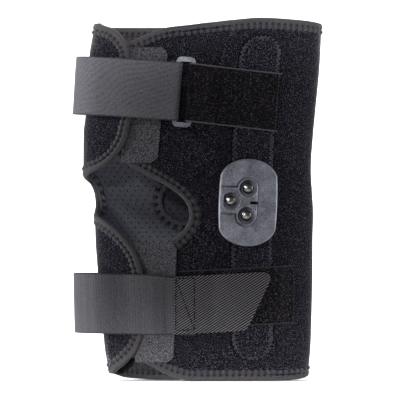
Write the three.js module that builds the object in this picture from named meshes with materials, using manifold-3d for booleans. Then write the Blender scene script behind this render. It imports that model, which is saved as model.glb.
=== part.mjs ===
// Hinged knee brace: a wrap-around neoprene sleeve with two flaps, two straps and a hinge on each side.
// Millimetres, +Z up. The near (lateral) side faces -Y, and the front of the knee faces -X.
import * as THREE from "three";
import { mergeVertices } from "three/addons/utils/BufferGeometryUtils.js";
import Module from "manifold-3d";

const wasm = await Module();
wasm.setup();

// Overall sizes
const height = 329;
const wallThickness = 3.5;
const gap = 0.3;
const squareness = 2.4;
const halfDepthBottom = 34;
const halfDepthTop = 38;

// Fold lines of the flattened sleeve, as seen from the near side
const foldTable = [
  { z: 0, left: -78, right: 100.6 },
  { z: 25, left: -82.3, right: 102.7 },
  { z: 41, left: -84.1, right: 103.6 },
  { z: 101, left: -89.5, right: 105 },
  { z: 127, left: -91.4, right: 105.1 },
  { z: 152, left: -92.3, right: 105.7 },
  { z: 162, left: -96.5, right: 105.2 },
  { z: 173, left: -100.4, right: 104.5 },
  { z: 191, left: -102.5, right: 103.6 },
  { z: 224, left: -102.3, right: 105.6 },
  { z: 241, left: -100.4, right: 107.2 },
  { z: 295, left: -96.8, right: 112 },
  { z: 330, left: -92, right: 113.2 },
];

// Height of the two open rims round the sleeve: turn is 0 at the back fold, -90 on the near side,
// 90 on the far side and 180 at the front fold
const topRimTable = [
  { turn: -150, z: 294 },
  { turn: -134, z: 303.4 },
  { turn: -128, z: 307 },
  { turn: -115, z: 315.2 },
  { turn: -108, z: 318.7 },
  { turn: -97, z: 321.1 },
  { turn: -83, z: 325.2 },
  { turn: -67, z: 327.5 },
  { turn: -46, z: 326.1 },
  { turn: 0, z: 322.5 },
  { turn: 60, z: 321 },
  { turn: 150, z: 319.8 },
  { turn: 180, z: 322.5 },
  { turn: 230, z: 323 },
];
const bottomRimTable = [
  { turn: -150, z: 28.4 },
  { turn: -130, z: 19.3 },
  { turn: -122, z: 13.8 },
  { turn: -112, z: 6.6 },
  { turn: -104, z: 2.9 },
  { turn: -98, z: 1.1 },
  { turn: -58, z: 1.1 },
  { turn: -26, z: 2.5 },
  { turn: 0, z: 4.8 },
  { turn: 35, z: 2.6 },
  { turn: 60, z: 1.1 },
  { turn: 120, z: 1.1 },
  { turn: 150, z: 2.9 },
  { turn: 180, z: 7 },
  { turn: 230, z: 7.5 },
];

// Kneecap cut in the near panel's front edge
const frontMargin = 22;
const kneecapCut = {
  x: -5.8,
  z: 148,
  up: 73,
  upPower: 2.5,
  upRound: 3.4,
  down: 46.5,
  downPower: 1.75,
  downRound: 1,
};
const cutClearance = 2.5;

// Flaps: how far round the near side their edges come, in degrees of turn past the front fold
const flapLift = 7.8;
const flapLiftFrom = 155;
const flapLiftTo = 210;
const foldLift = 3.2;
const flapTable = [
  { z: 0, turn: 16 },
  { z: 8, turn: 21 },
  { z: 15.5, turn: 35 },
  { z: 28, turn: 48 },
  { z: 40, turn: 53 },
  { z: 60, turn: 56 },
  { z: 90, turn: 57 },
  { z: 110, turn: 54.5 },
  { z: 123, turn: 49.5 },
  { z: 134.5, turn: 41 },
  { z: 144.5, turn: 26.5 },
  { z: 152.5, turn: 2 },
  { z: 160, turn: -11.5 },
  { z: 171, turn: -17 },
  { z: 178, turn: -13.5 },
  { z: 184, turn: 2 },
  { z: 189, turn: 22 },
  { z: 195.5, turn: 38 },
  { z: 207, turn: 48.5 },
  { z: 222, turn: 54 },
  { z: 240, turn: 55.5 },
  { z: 270, turn: 55 },
  { z: 299, turn: 51 },
  { z: 311, turn: 44 },
  { z: 318, turn: 35 },
  { z: 323, turn: 20 },
  { z: 330, turn: 15 },
];

// The sheet before its front outlines are cut, and the steps along those outlines
const sheet = {
  from: THREE.MathUtils.degToRad(-153),
  to: THREE.MathUtils.degToRad(241),
  columns: 52,
  rows: 19,
  kneeDensity: 0.55,
  overrun: THREE.MathUtils.degToRad(6),
};
const outlineStep = { rise: 10, swing: THREE.MathUtils.degToRad(5.5) };

// Binding tape
const tapeThickness = 0.5;
const tapeGap = 0.6;
const tapeInnerGap = 0.9;
const tapeWidth = 7.5;
const tapeMitre = 0.6;

// Opening in the far panel and the layer behind it
const backOpening = { x: -12.5, z: 163, halfWidth: 20.5, halfHeight: 19.5 };
const backCover = {
  halfWidth: 34,
  halfHeight: 33,
  thickness: 1.2,
  rise: 1.4,
  riseFrom: 0.97,
  riseTo: 0.84,
};

// Hook tabs under the flaps
const tabThickness = 1.2;
const tabLift = 1.4;
const tabCorner = 8;
const tabTable = [
  { name: "upper_hook_tab", left: -68, bottom: 197.2, top: 301.5, rightBottom: -35.8, rightTop: -26 },
  { name: "lower_hook_tab", left: -55, bottom: 17, top: 125.5, rightBottom: -21, rightTop: -18 },
];

// Straps: how far the middle of the strap lies over the wall, by degrees of turn past the front fold
const strapThickness = 1.6;
const strapWidth = 53;
const sewnGap = 0.4;
const upperTilt = THREE.MathUtils.degToRad(4.4);
const upperStrap = {
  x: -11.7,
  z: 261.2,
  near: 75,
  farEnd: -140,
  width: strapWidth,
  lean: 0,
  buckleLift: 4.4,
  barWrap: 3.2,
  barApproach: 4,
  approachRise: 0.6,
  tailRise: 7.5,
  tailLift: 3.7,
  tailEnd: -48,
};
const upperStrapLift = [
  { turn: -140, lift: 1.3 },
  { turn: -80, lift: 1.6 },
  { turn: -50, lift: 4.5 },
  { turn: -20, lift: 11.2 },
  { turn: 0, lift: 15.4 },
  { turn: 25, lift: 13 },
  { turn: 45, lift: 10.8 },
  { turn: 66, lift: 10.4 },
  { turn: 75, lift: 9.6 },
  { turn: 90, lift: 6 },
];
const buckle = { width: 17.5, length: 63.6, bar: 3.6, thickness: 2.4, corner: 5, slotCorner: 1, slotEase: 1 };
const anchor = { end: 73.5, restFrom: 30, barApproach: 3, underEnd: 27, underRest: 8, droop: 3 };
const lowerTilt = THREE.MathUtils.degToRad(2);
const lowerStrap = { x: -20.5, z: 68.3, near: 85, farEnd: -140, width: 54.6, lean: 1.8 };
const lowerStrapLift = [
  { turn: -140, lift: 1.3 },
  { turn: -90, lift: 1.6 },
  { turn: -60, lift: 7 },
  { turn: -25, lift: 22 },
  { turn: 0, lift: 27.5 },
  { turn: 25, lift: 21.5 },
  { turn: 46, lift: 11.6 },
  { turn: 60, lift: 10.5 },
  { turn: 73, lift: 4.1 },
  { turn: 95, lift: 4.1 },
];
const landing = { left: -16, right: 88.4, leftZ: 73.5, rightZ: 78.5, width: 52.5, thickness: 1.6, slant: 0 };
const hookEnd = { left: -20.5, right: 68, leftZ: 68.2, rightZ: 73, width: 52, thickness: 1.4, slant: 24 };
const hookEndStep = { overStrap: -2, onLanding: 14, strapGap: 0.5, landingGap: 1.55 };

// Hinge pockets, covers and domes on both sides
const pocket = { bottom: 18.5, top: 313, halfWidth: 19, thickness: 3, bevel: 1, endTrim: 0.02 };
const pocketEase = { margin: 4, slope: 12 };
const pocketLine = [
  { z: 0, x: 50 },
  { z: 110, x: 49 },
  { z: 200, x: 49.8 },
  { z: 277, x: 55 },
  { z: 330, x: 60 },
];
const cover = {
  x: 45.3,
  z: 161.4,
  halfWidth: 26.4,
  halfHeight: 39.4,
  endHeight: 20.5,
  thickness: 6,
  bevel: 1.4,
  gap: 0.7,
};
const coverTilt = THREE.MathUtils.degToRad(2);
const domeRecess = { radius: 7.6, depth: 1.8 };
const domeRadius = 4.8;
const domeRise = 4;
const domeFoot = 0.6;
const domeTable = [
  { name: "hinge_dome_1", x: -0.7, z: 12.6 },
  { name: "hinge_dome_2", x: -16.3, z: 0.8 },
  { name: "hinge_dome_3", x: -1.5, z: -12 },
];
const indicatorSlot = { x: 5.8, z: 0, width: 7, height: 2.2 };

// Colours
const neopreneColour = 0x1c1c22;
const tapeColour = 0x464344;
const strapColour = 0x4b494b;
const loopColour = 0x211f20;
const hookColour = 0x515052;
const ribColour = 0x3c3b3d;
const plasticColour = 0x606366;
const steelColour = 0xb9b6b0;
const liningColour = 0x42444a;
const plasticRoughness = 0.45;

const clamp = THREE.MathUtils.clamp;
const degrees = THREE.MathUtils.degToRad;

// Smooth value between a table's rows, with no overshoot
function along(table, key, value, at) {
  const last = table.length - 1;
  const row = clamp(table.findIndex((entry) => entry[key] > at), 1, last);
  const index = at >= table[last][key] ? last : row;
  const step = (k) => (table[k][value] - table[k - 1][value]) / (table[k][key] - table[k - 1][key]);
  const slope = (k) => {
    if (k === 0 || k === last || step(k) * step(k + 1) <= 0) {
      return 0;
    }
    return (2 * step(k) * step(k + 1)) / (step(k) + step(k + 1));
  };
  const low = table[index - 1];
  const high = table[index];
  const span = high[key] - low[key];
  const w = clamp((at - low[key]) / span, 0, 1);
  const rise = w * w * (3 - 2 * w);
  const lead = w * (1 - w) * (1 - w) * span * slope(index - 1);
  const trail = w * w * (w - 1) * span * slope(index);
  return low[value] + (high[value] - low[value]) * rise + lead + trail;
}

// The sleeve's oval at one height
function ovalAt(z) {
  const left = along(foldTable, "z", "left", z) + foldLift;
  const right = along(foldTable, "z", "right", z);
  const halfDepth = halfDepthBottom + ((halfDepthTop - halfDepthBottom) * z) / height;
  return { middle: (left + right) / 2, halfWidth: (right - left) / 2, halfDepth };
}

// A point on the sleeve's outer face, moved out by lift along the level normal
function wallPoint(turn, z, lift) {
  const { middle, halfWidth, halfDepth } = ovalAt(z);
  const c = Math.cos(turn);
  const s = Math.sin(turn);
  const power = 2 / squareness;
  const normal = new THREE.Vector2(
    (Math.sign(c) * Math.abs(c) ** (2 - power)) / halfWidth,
    (Math.sign(s) * Math.abs(s) ** (2 - power)) / halfDepth,
  ).normalize();
  return new THREE.Vector3(
    middle + halfWidth * Math.sign(c) * Math.abs(c) ** power + normal.x * lift,
    halfDepth * Math.sign(s) * Math.abs(s) ** power + normal.y * lift,
    z,
  );
}

// The turn at which the sleeve passes x on the near side (side -1) or the far side (side 1)
function turnAt(x, z, side) {
  const { middle, halfWidth } = ovalAt(z);
  const c = clamp((x - middle) / halfWidth, -0.999, 0.999);
  return side * Math.acos(Math.sign(c) * Math.abs(c) ** (squareness / 2));
}

// How much farther out the medial panel lies where it becomes a flap
function liftAt(turn) {
  return flapLift * THREE.MathUtils.smoothstep(turn, degrees(flapLiftFrom), degrees(flapLiftTo));
}

// Half of the kneecap cut's outline: 1 at its deepest, 0 at its end
function lobe(w, power, round) {
  return (1 - clamp(w, 0, 1) ** power) ** round;
}

// The near panel's front edge
function frontEdge(z) {
  const { middle, halfWidth } = ovalAt(z);
  const line = middle - halfWidth + frontMargin;
  const above = lobe((z - kneecapCut.z) / kneecapCut.up, kneecapCut.upPower, kneecapCut.upRound);
  const below = lobe((kneecapCut.z - z) / kneecapCut.down, kneecapCut.downPower, kneecapCut.downRound);
  const depth = z > kneecapCut.z ? above : below;
  return turnAt(line + (kneecapCut.x - line) * depth, z, -1);
}

// The medial panel's front edge: the two flaps and the notch between them
function flapEdge(z) {
  return Math.PI + degrees(along(flapTable, "z", "turn", z));
}

// A closed solid from a row of closed sections, each an outer chain followed by its inner chain backwards
function loft(sections, isLoop = false) {
  const count = sections.length;
  const size = sections[0].length;
  const positions = sections.flat().flatMap((point) => [point.x, point.y, point.z]);
  const faces = [];
  const quad = (a, b, c, d) => faces.push(a, b, c, a, c, d);
  for (let i = 0; i < (isLoop ? count : count - 1); i += 1) {
    const here = i * size;
    const next = ((i + 1) % count) * size;
    for (let k = 0; k < size; k += 1) {
      const after = (k + 1) % size;
      quad(here + k, here + after, next + after, next + k);
    }
  }
  const end = (count - 1) * size;
  for (let k = 0; !isLoop && k < size / 2 - 1; k += 1) {
    const across = size - 1 - k;
    quad(k, across, across - 1, k + 1);
    quad(end + k, end + k + 1, end + across - 1, end + across);
  }
  const geometry = new THREE.BufferGeometry();
  geometry.setAttribute("position", new THREE.Float32BufferAttribute(positions, 3));
  geometry.setIndex(signedVolume(positions, faces) < 0 ? faces.reverse() : faces);
  return geometry;
}

function signedVolume(positions, faces) {
  const corner = (index) => new THREE.Vector3().fromArray(positions, index * 3);
  let volume = 0;
  for (let i = 0; i < faces.length; i += 3) {
    volume += corner(faces[i]).dot(corner(faces[i + 1]).cross(corner(faces[i + 2]))) / 6;
  }
  return volume;
}

// Solids for cutting
function toSolid(geometry) {
  const bare = geometry.clone();
  bare.deleteAttribute("normal");
  bare.deleteAttribute("uv");
  const merged = mergeVertices(bare, 1e-4);
  const vertProperties = new Float32Array(merged.attributes.position.array);
  const triVerts = new Uint32Array(merged.index.array);
  return new wasm.Manifold(new wasm.Mesh({ numProp: 3, vertProperties, triVerts }));
}

function toGeometry(solid) {
  const mesh = solid.getMesh();
  const geometry = new THREE.BufferGeometry();
  geometry.setAttribute("position", new THREE.Float32BufferAttribute(mesh.vertProperties, mesh.numProp));
  geometry.setIndex(Array.from(mesh.triVerts));
  return geometry;
}

const brace = new THREE.Group();

function addPiece(parent, name, geometry, color, roughness = 0.9, metalness = 0) {
  const piece = new THREE.Mesh(geometry, new THREE.MeshStandardMaterial({ color, roughness, metalness }));
  piece.name = name;
  parent.add(piece);
  return piece;
}

// Height of the two rims at one turn
function rimHeight(table, turn) {
  return along(table, "turn", "z", THREE.MathUtils.radToDeg(turn));
}

// A layer of the sleeve between two turns, where start and finish may change with the row
function layer(rows, columns, placeAt, lifts) {
  const sections = [];
  for (let i = 0; i <= rows; i += 1) {
    const chain = (lift) => Array.from({ length: columns + 1 }, (_, k) => {
      const { turn, z } = placeAt(i / rows, k / columns);
      return wallPoint(turn, z, liftAt(turn) + lift);
    });
    sections.push([...chain(lifts.outer), ...chain(lifts.inner).reverse()]);
  }
  return loft(sections);
}

// The uncut sheet runs past both front outlines, with its rows closest at the knee
function sheetPlace(up, across) {
  const turn = sheet.from + (sheet.to - sheet.from) * across;
  const low = rimHeight(bottomRimTable, turn);
  const drawn = up + (sheet.kneeDensity * Math.sin(2 * Math.PI * up)) / (2 * Math.PI);
  return { turn, z: low + (rimHeight(topRimTable, turn) - low) * drawn };
}

// Heights along an outline, a new one wherever it has turned or risen by a full step
function outlineHeights(edgeAt, low, high) {
  const heights = [low];
  const fine = 0.1;
  for (let z = low + fine; z < high - fine; z += fine) {
    const rise = z - heights.at(-1);
    const swing = Math.abs(edgeAt(z) - edgeAt(heights.at(-1)));
    if (rise >= outlineStep.rise || swing >= outlineStep.swing) {
      heights.push(z);
    }
  }
  const last = { turn: edgeAt(heights.at(-1)), z: heights.at(-1) };
  const lastRun = Math.hypot(high - last.z, (edgeAt(high) - last.turn) * stretchAt(last));
  return [...(lastRun < tapeWidth ? heights.slice(0, -1) : heights), high];
}

// The height at which an outline crosses a rim
function crossing(edgeAt, table) {
  const rounds = 30;
  let z = rimHeight(table, Math.PI);
  for (let i = 0; i < rounds; i += 1) {
    z = rimHeight(table, edgeAt(z));
  }
  return z;
}

const frontEnds = [crossing(frontEdge, bottomRimTable), crossing(frontEdge, topRimTable)];
const flapEnds = [crossing(flapEdge, bottomRimTable), crossing(flapEdge, topRimTable)];
const cutEnds = [kneecapCut.z - kneecapCut.down, kneecapCut.z + kneecapCut.up];
const frontHeights = [
  ...outlineHeights(frontEdge, frontEnds[0], cutEnds[0]),
  ...outlineHeights(frontEdge, cutEnds[0], cutEnds[1]).slice(1),
  ...outlineHeights(frontEdge, cutEnds[1], frontEnds[1]).slice(1),
];
const flapHeights = outlineHeights(flapEdge, flapEnds[0], flapEnds[1]);

// What lies beyond an outline, to be cut from the sheet
function beyond(heights, edgeAt, limit, lifts) {
  const margin = 8;
  const levels = [heights[0] - margin, ...heights, heights.at(-1) + margin];
  const steps = 12;
  return layer(levels.length - 1, steps, (up, across) => {
    const z = levels[Math.round(up * (levels.length - 1))];
    const edge = edgeAt(clamp(z, heights[0], heights.at(-1)));
    return { turn: edge + (limit - edge) * across, z };
  }, lifts);
}

function ellipsePrism(halfWidth, halfHeight, depth) {
  const segments = 32;
  const prism = new THREE.CylinderGeometry(1, 1, depth, segments);
  prism.scale(halfWidth, 1, halfHeight);
  return prism;
}

function buildWrap() {
  const whole = layer(sheet.rows, sheet.columns, sheetPlace, { outer: 0, inner: -wallThickness });
  const clear = { outer: cutClearance, inner: -wallThickness - cutClearance };
  const front = beyond(frontHeights, frontEdge, sheet.from - sheet.overrun, clear);
  const flaps = beyond(flapHeights, flapEdge, sheet.to + sheet.overrun, clear);
  const hole = ellipsePrism(backOpening.halfWidth, backOpening.halfHeight, 2 * halfDepthTop);
  hole.translate(backOpening.x, halfDepthTop, backOpening.z);
  let wrap = toSolid(whole);
  for (const cutter of [front, flaps, hole]) {
    wrap = wrap.subtract(toSolid(cutter));
  }
  addPiece(brace, "neoprene_wrap", toGeometry(wrap), neopreneColour);
}

// Tape folded over an edge: depth is measured into the cloth, lift from the cloth's outer face
function tapeSection(pointAt, isBent = true) {
  const chain = (thickness) => {
    const out = tapeGap + thickness;
    const back = -wallThickness - tapeInnerGap - thickness;
    return [
      pointAt(tapeWidth, out),
      ...(isBent ? [pointAt(tapeWidth / 2, out)] : []),
      pointAt(-out, out),
      pointAt(-out, back),
      ...(isBent ? [pointAt(tapeWidth / 2, back)] : []),
      pointAt(tapeWidth, back),
    ];
  };
  return [...chain(tapeThickness), ...chain(0).reverse()];
}

// Length along the cloth for each radian of turn
function stretchAt({ turn, z }) {
  const step = 0.01;
  const ahead = wallPoint(turn + step, z, liftAt(turn + step));
  return ahead.distanceTo(wallPoint(turn - step, z, liftAt(turn - step))) / (2 * step);
}

// The four bound edges, with the direction into the cloth at each point
function buildEdgeTapes() {
  const lateral = frontHeights.map((z) => ({ turn: frontEdge(z), z }));
  const medial = flapHeights.map((z) => ({ turn: flapEdge(z), z })).reverse();
  const rim = (table, from, to) => {
    const count = Math.round((to - from) / ((sheet.to - sheet.from) / sheet.columns));
    return Array.from({ length: count + 1 }, (_, k) => {
      const turn = from + ((to - from) * k) / count;
      return { turn, z: rimHeight(table, turn) };
    });
  };
  const top = rim(topRimTable, lateral.at(-1).turn, medial[0].turn);
  const bottom = rim(bottomRimTable, lateral[0].turn, medial.at(-1).turn).reverse();
  const edges = [
    { name: "binding_top", points: top, isBent: false },
    { name: "binding_medial", points: medial, isBent: true },
    { name: "binding_bottom", points: bottom, isBent: false },
    { name: "binding_lateral", points: lateral, isBent: true },
  ];
  const direction = (from, to) => {
    const across = (to.turn - from.turn) * stretchAt({ turn: (from.turn + to.turn) / 2, z: from.z });
    return new THREE.Vector2(across, to.z - from.z).normalize();
  };
  edges.forEach(({ name, points, isBent }, index) => {
    const before = edges[(index + 3) % 4].points.at(-2);
    const after = edges[(index + 1) % 4].points[1];
    const sections = points.map((point, i) => {
      const arriving = direction(points[i - 1] ?? before, point);
      const leaving = direction(point, points[i + 1] ?? after);
      const inward = new THREE.Vector2(arriving.y + leaving.y, -arriving.x - leaving.x).normalize();
      const mitre = 1 / Math.max(inward.dot(new THREE.Vector2(leaving.y, -leaving.x)), tapeMitre);
      const nudge = 2 * tapeGap * ((points[i - 1] ? 0 : 1) - (points[i + 1] ? 0 : 1));
      const heading = points[i + 1] ? leaving : arriving;
      const stretch = stretchAt(point);
      return tapeSection((depth, lift) => {
        const turn = point.turn + (inward.x * depth * mitre + heading.x * nudge) / stretch;
        const z = point.z + inward.y * depth * mitre + heading.y * nudge;
        return wallPoint(turn, z, liftAt(turn) + lift);
      }, isBent);
    });
    addPiece(brace, name, loft(sections), tapeColour);
  });
}

function buildBackOpening() {
  const steps = 24;
  const tape = [];
  for (let i = 0; i < steps; i += 1) {
    const angle = (2 * Math.PI * i) / steps;
    tape.push(tapeSection((depth, lift) => {
      const x = backOpening.x + (backOpening.halfWidth + depth) * Math.cos(angle);
      const z = backOpening.z + (backOpening.halfHeight + depth) * Math.sin(angle);
      return wallPoint(turnAt(x, z, 1), z, lift);
    }));
  }
  addPiece(brace, "binding_back_opening", loft(tape, true), tapeColour);
  const rows = 10;
  const sections = [];
  for (let i = 0; i <= rows; i += 1) {
    const up = Math.sin((Math.PI / 2) * (2 * (i / rows) - 1) * backCover.riseFrom);
    const half = Math.sqrt(1 - up * up);
    const chain = (extra) => Array.from({ length: rows + 1 }, (_, k) => {
      const across = half * (2 * (k / rows) - 1);
      const out = Math.hypot(across, up);
      const rim = 1 - THREE.MathUtils.smoothstep(out, backCover.riseTo, backCover.riseFrom);
      const x = backOpening.x + backCover.halfWidth * across;
      const z = backOpening.z + backCover.halfHeight * up;
      return wallPoint(turnAt(x, z, 1), z, gap + backCover.rise * rim + extra);
    });
    sections.push([...chain(backCover.thickness), ...chain(0).reverse()]);
  }
  addPiece(brace, "back_cover", loft(sections), liningColour);
}

// The hook tabs lie on the near side, with rounded right corners
function buildHookTabs() {
  const rows = 14;
  const columns = 6;
  for (const { name, left, bottom, top, rightBottom, rightTop } of tabTable) {
    const sections = [];
    for (let i = 0; i <= rows; i += 1) {
      const w = 0.5 - 0.5 * Math.cos(Math.PI * (i / rows));
      const z = bottom + (top - bottom) * w;
      const toEnd = Math.min(z - bottom, top - z, tabCorner) / tabCorner;
      const rounding = tabCorner * (1 - Math.sqrt(1 - (1 - toEnd) ** 2));
      const right = rightBottom + (rightTop - rightBottom) * w - rounding;
      const chain = (lift) => Array.from({ length: columns + 1 }, (_, k) => {
        return wallPoint(turnAt(left + ((right - left) * k) / columns, z, -1), z, lift);
      });
      sections.push([...chain(tabLift + tabThickness), ...chain(tabLift).reverse()]);
    }
    addPiece(brace, name, loft(sections), hookColour);
  }
}

// Height that the hinge pocket adds under a strap that crosses it
function pocketRise(x, z) {
  const off = Math.abs(x - along(pocketLine, "z", "x", z)) - pocket.halfWidth - pocketEase.margin;
  return (pocket.thickness + gap) * (1 - THREE.MathUtils.smoothstep(off, 0, pocketEase.slope));
}

// A ribbon along stops: each stop gives the middle of the ribbon at a distance across its width
function ribbon(stops, width, thickness) {
  const sections = stops.map((stop, i) => {
    const before = stops[Math.max(i - 1, 0)];
    const after = stops[Math.min(i + 1, stops.length - 1)];
    const corner = (across, side) => {
      const run = after(across).sub(before(across));
      const out = new THREE.Vector3(run.y, -run.x, 0).normalize();
      return stop(across).addScaledVector(out, (side * thickness) / 2);
    };
    const half = width / 2;
    return [corner(half, 1), corner(-half, 1), corner(-half, -1), corner(half, -1)];
  });
  return loft(sections);
}

// The stretch of a strap that goes round the front fold and along the far side
function loopStops(strap, tilt, liftTable) {
  const stops = [];
  const step = 5;
  const farSide = -60;
  const leanSpan = 60;
  for (let past = strap.near; past >= strap.farEnd; past -= step) {
    stops.push((across) => {
      const turn = degrees(past) - Math.PI;
      const x = wallPoint(turn, strap.z, 0).x;
      const z = strap.z - (x - strap.x) * Math.tan(tilt) + across * Math.cos(tilt);
      const shear = Math.sin(tilt) * THREE.MathUtils.smoothstep(past, 0, -farSide);
      const farRise = past < farSide ? pocketRise(x, z) : 0;
      const bend = Math.cos(degrees(clamp(past / leanSpan, -1, 1) * 90));
      const lean = (strap.lean * bend * bend * across) / (strap.width / 2);
      const point = wallPoint(turn, z, along(liftTable, "turn", "lift", past) + farRise - lean);
      point.x += across * shear;
      return point;
    });
  }
  return stops;
}

// A stop on the near side at a distance along a tilted strap
function nearStop(strap, tilt, distance, lift) {
  return (across) => {
    const x = strap.x + distance * Math.cos(tilt) + across * Math.sin(tilt);
    const z = strap.z - distance * Math.sin(tilt) + across * Math.cos(tilt);
    return wallPoint(turnAt(x, z, -1), z, lift);
  };
}

// Round a buckle bar: sign 1 wraps the bar's right side, -1 its left side
function barStops(distance, sign) {
  const stops = [];
  const steps = 8;
  for (let i = 0; i <= steps; i += 1) {
    const angle = (Math.PI * i) / steps;
    const reach = distance + sign * upperStrap.barWrap * Math.sin(angle);
    const lift = upperStrap.buckleLift + upperStrap.barWrap * Math.cos(angle);
    stops.push(nearStop(upperStrap, upperTilt, reach, lift));
  }
  return stops;
}

function buildUpperStrap() {
  const barOffset = (buckle.width - buckle.bar) / 2;
  const top = upperStrap.buckleLift + upperStrap.barWrap;
  const under = upperStrap.buckleLift - upperStrap.barWrap;
  const tailLength = upperStrap.x - barOffset - upperStrap.tailEnd;
  const stops = loopStops(upperStrap, upperTilt, upperStrapLift).reverse();
  const approach = -barOffset - upperStrap.barApproach;
  stops.push(nearStop(upperStrap, upperTilt, approach, top + upperStrap.approachRise));
  stops.push(...barStops(-barOffset, 1));
  stops.push(nearStop(upperStrap, upperTilt, -barOffset - upperStrap.tailRise, upperStrap.tailLift));
  stops.push(nearStop(upperStrap, upperTilt, -barOffset - tailLength / 2, upperStrap.tailLift));
  stops.push(nearStop(upperStrap, upperTilt, -barOffset - tailLength, upperStrap.tailLift));
  addPiece(brace, "upper_strap", ribbon(stops, upperStrap.width, strapThickness), strapColour);
  const overSteps = 16;
  const underSteps = 6;
  const onWall = sewnGap + strapThickness / 2;
  const anchorStops = [];
  const overEnd = anchor.end - upperStrap.x;
  const anchorStop = (distance, lift) => {
    const droop = (anchor.droop * (distance - barOffset)) / (overEnd - barOffset);
    return nearStop({ x: upperStrap.x, z: upperStrap.z - droop }, upperTilt, distance, lift);
  };
  for (let i = 0; i <= overSteps; i += 1) {
    const distance = overEnd + ((barOffset + anchor.barApproach - overEnd) * i) / overSteps;
    const x = upperStrap.x + distance;
    const slack = THREE.MathUtils.smoothstep(-x, -anchor.restFrom, -(upperStrap.x + barOffset));
    const rest = onWall + pocketRise(x, upperStrap.z);
    anchorStops.push(anchorStop(distance, rest + (top - rest) * slack));
  }
  anchorStops.push(...barStops(barOffset, -1));
  for (let i = 1; i <= underSteps; i += 1) {
    const distance = barOffset + ((anchor.underEnd - upperStrap.x - barOffset) * i) / underSteps;
    const x = upperStrap.x + distance;
    const slack = THREE.MathUtils.smoothstep(-x, -anchor.underRest, -(upperStrap.x + barOffset));
    anchorStops.push(anchorStop(distance, onWall + (under - onWall) * slack));
  }
  addPiece(brace, "upper_strap_anchor", ribbon(anchorStops, strapWidth, strapThickness), loopColour);
}

// A frame on the wall: X along the sleeve, Y up it and Z out of it, turned clockwise by tilt
function wallFrame(x, z, side, lift, tilt) {
  const reach = 20;
  const place = (px, pz) => wallPoint(turnAt(px, pz, side), pz, lift);
  const acrossWall = place(x - side * reach, z).sub(place(x + side * reach, z)).normalize();
  const upWall = place(x, z + reach).sub(place(x, z - reach)).normalize();
  const outward = new THREE.Vector3().crossVectors(acrossWall, upWall).normalize();
  upWall.crossVectors(outward, acrossWall);
  const frame = new THREE.Group();
  const basis = new THREE.Matrix4().makeBasis(acrossWall, upWall, outward);
  frame.quaternion.setFromRotationMatrix(basis);
  frame.rotateZ(side * tilt);
  frame.position.copy(place(x, z));
  brace.add(frame);
  return frame;
}

function roundedRectangle(path, halfWidth, halfHeight, radius) {
  path.moveTo(halfWidth, -halfHeight + radius);
  path.lineTo(halfWidth, halfHeight - radius);
  path.absarc(halfWidth - radius, halfHeight - radius, radius, 0, Math.PI / 2);
  path.absarc(-halfWidth + radius, halfHeight - radius, radius, Math.PI / 2, Math.PI);
  path.absarc(-halfWidth + radius, -halfHeight + radius, radius, Math.PI, 1.5 * Math.PI);
  path.absarc(halfWidth - radius, -halfHeight + radius, radius, 1.5 * Math.PI, 2 * Math.PI);
  return path;
}

function buildBuckle() {
  const frame = wallFrame(upperStrap.x, upperStrap.z, -1, upperStrap.buckleLift, upperTilt);
  const outline = roundedRectangle(new THREE.Shape(), buckle.width / 2, buckle.length / 2, buckle.corner);
  const slotHalfWidth = buckle.width / 2 - buckle.bar;
  const slotHalfLength = strapWidth / 2 + buckle.slotEase;
  outline.holes.push(roundedRectangle(new THREE.Path(), slotHalfWidth, slotHalfLength, buckle.slotCorner));
  const ring = new THREE.ExtrudeGeometry(outline, {
    depth: buckle.thickness,
    bevelEnabled: false,
    curveSegments: 4,
  });
  ring.translate(0, 0, -buckle.thickness / 2);
  addPiece(frame, "slot_buckle", ring, plasticColour, plasticRoughness);
}

function buildLowerStrap() {
  const stops = loopStops(lowerStrap, lowerTilt, lowerStrapLift).reverse();
  addPiece(brace, "lower_strap", ribbon(stops, lowerStrap.width, strapThickness), strapColour);
}

// A flat strip on the near side between two x limits, its right end slanted, its lift given at each place
function strip({ left, right, leftZ, rightZ, width, thickness, slant }, liftUnder) {
  const steps = 44;
  const stops = [];
  for (let i = 0; i <= steps; i += 1) {
    const w = i / steps;
    stops.push((across) => {
      const end = right - slant * (0.5 - across / width);
      const x = left + (end - left) * w;
      const z = leftZ + (rightZ - leftZ) * w + across;
      return wallPoint(turnAt(x, z, -1), z, liftUnder(x, z) + thickness / 2);
    });
  }
  return ribbon(stops, width, thickness);
}

function buildLanding() {
  const landingLift = (x, z) => sewnGap + pocketRise(x, z);
  addPiece(brace, "lower_strap_landing", strip(landing, landingLift), loopColour);
  const overStrap = lowerStrapLift.at(-1).lift + strapThickness / 2 + hookEndStep.strapGap;
  const hookLift = (x, z) => {
    const rest = landingLift(x, z) + landing.thickness + hookEndStep.landingGap;
    const slack = 1 - THREE.MathUtils.smoothstep(x, hookEndStep.overStrap, hookEndStep.onLanding);
    return rest + Math.max(overStrap - rest, 0) * slack;
  };
  addPiece(brace, "lower_strap_hook_end", strip(hookEnd, hookLift), ribColour);
}

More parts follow.
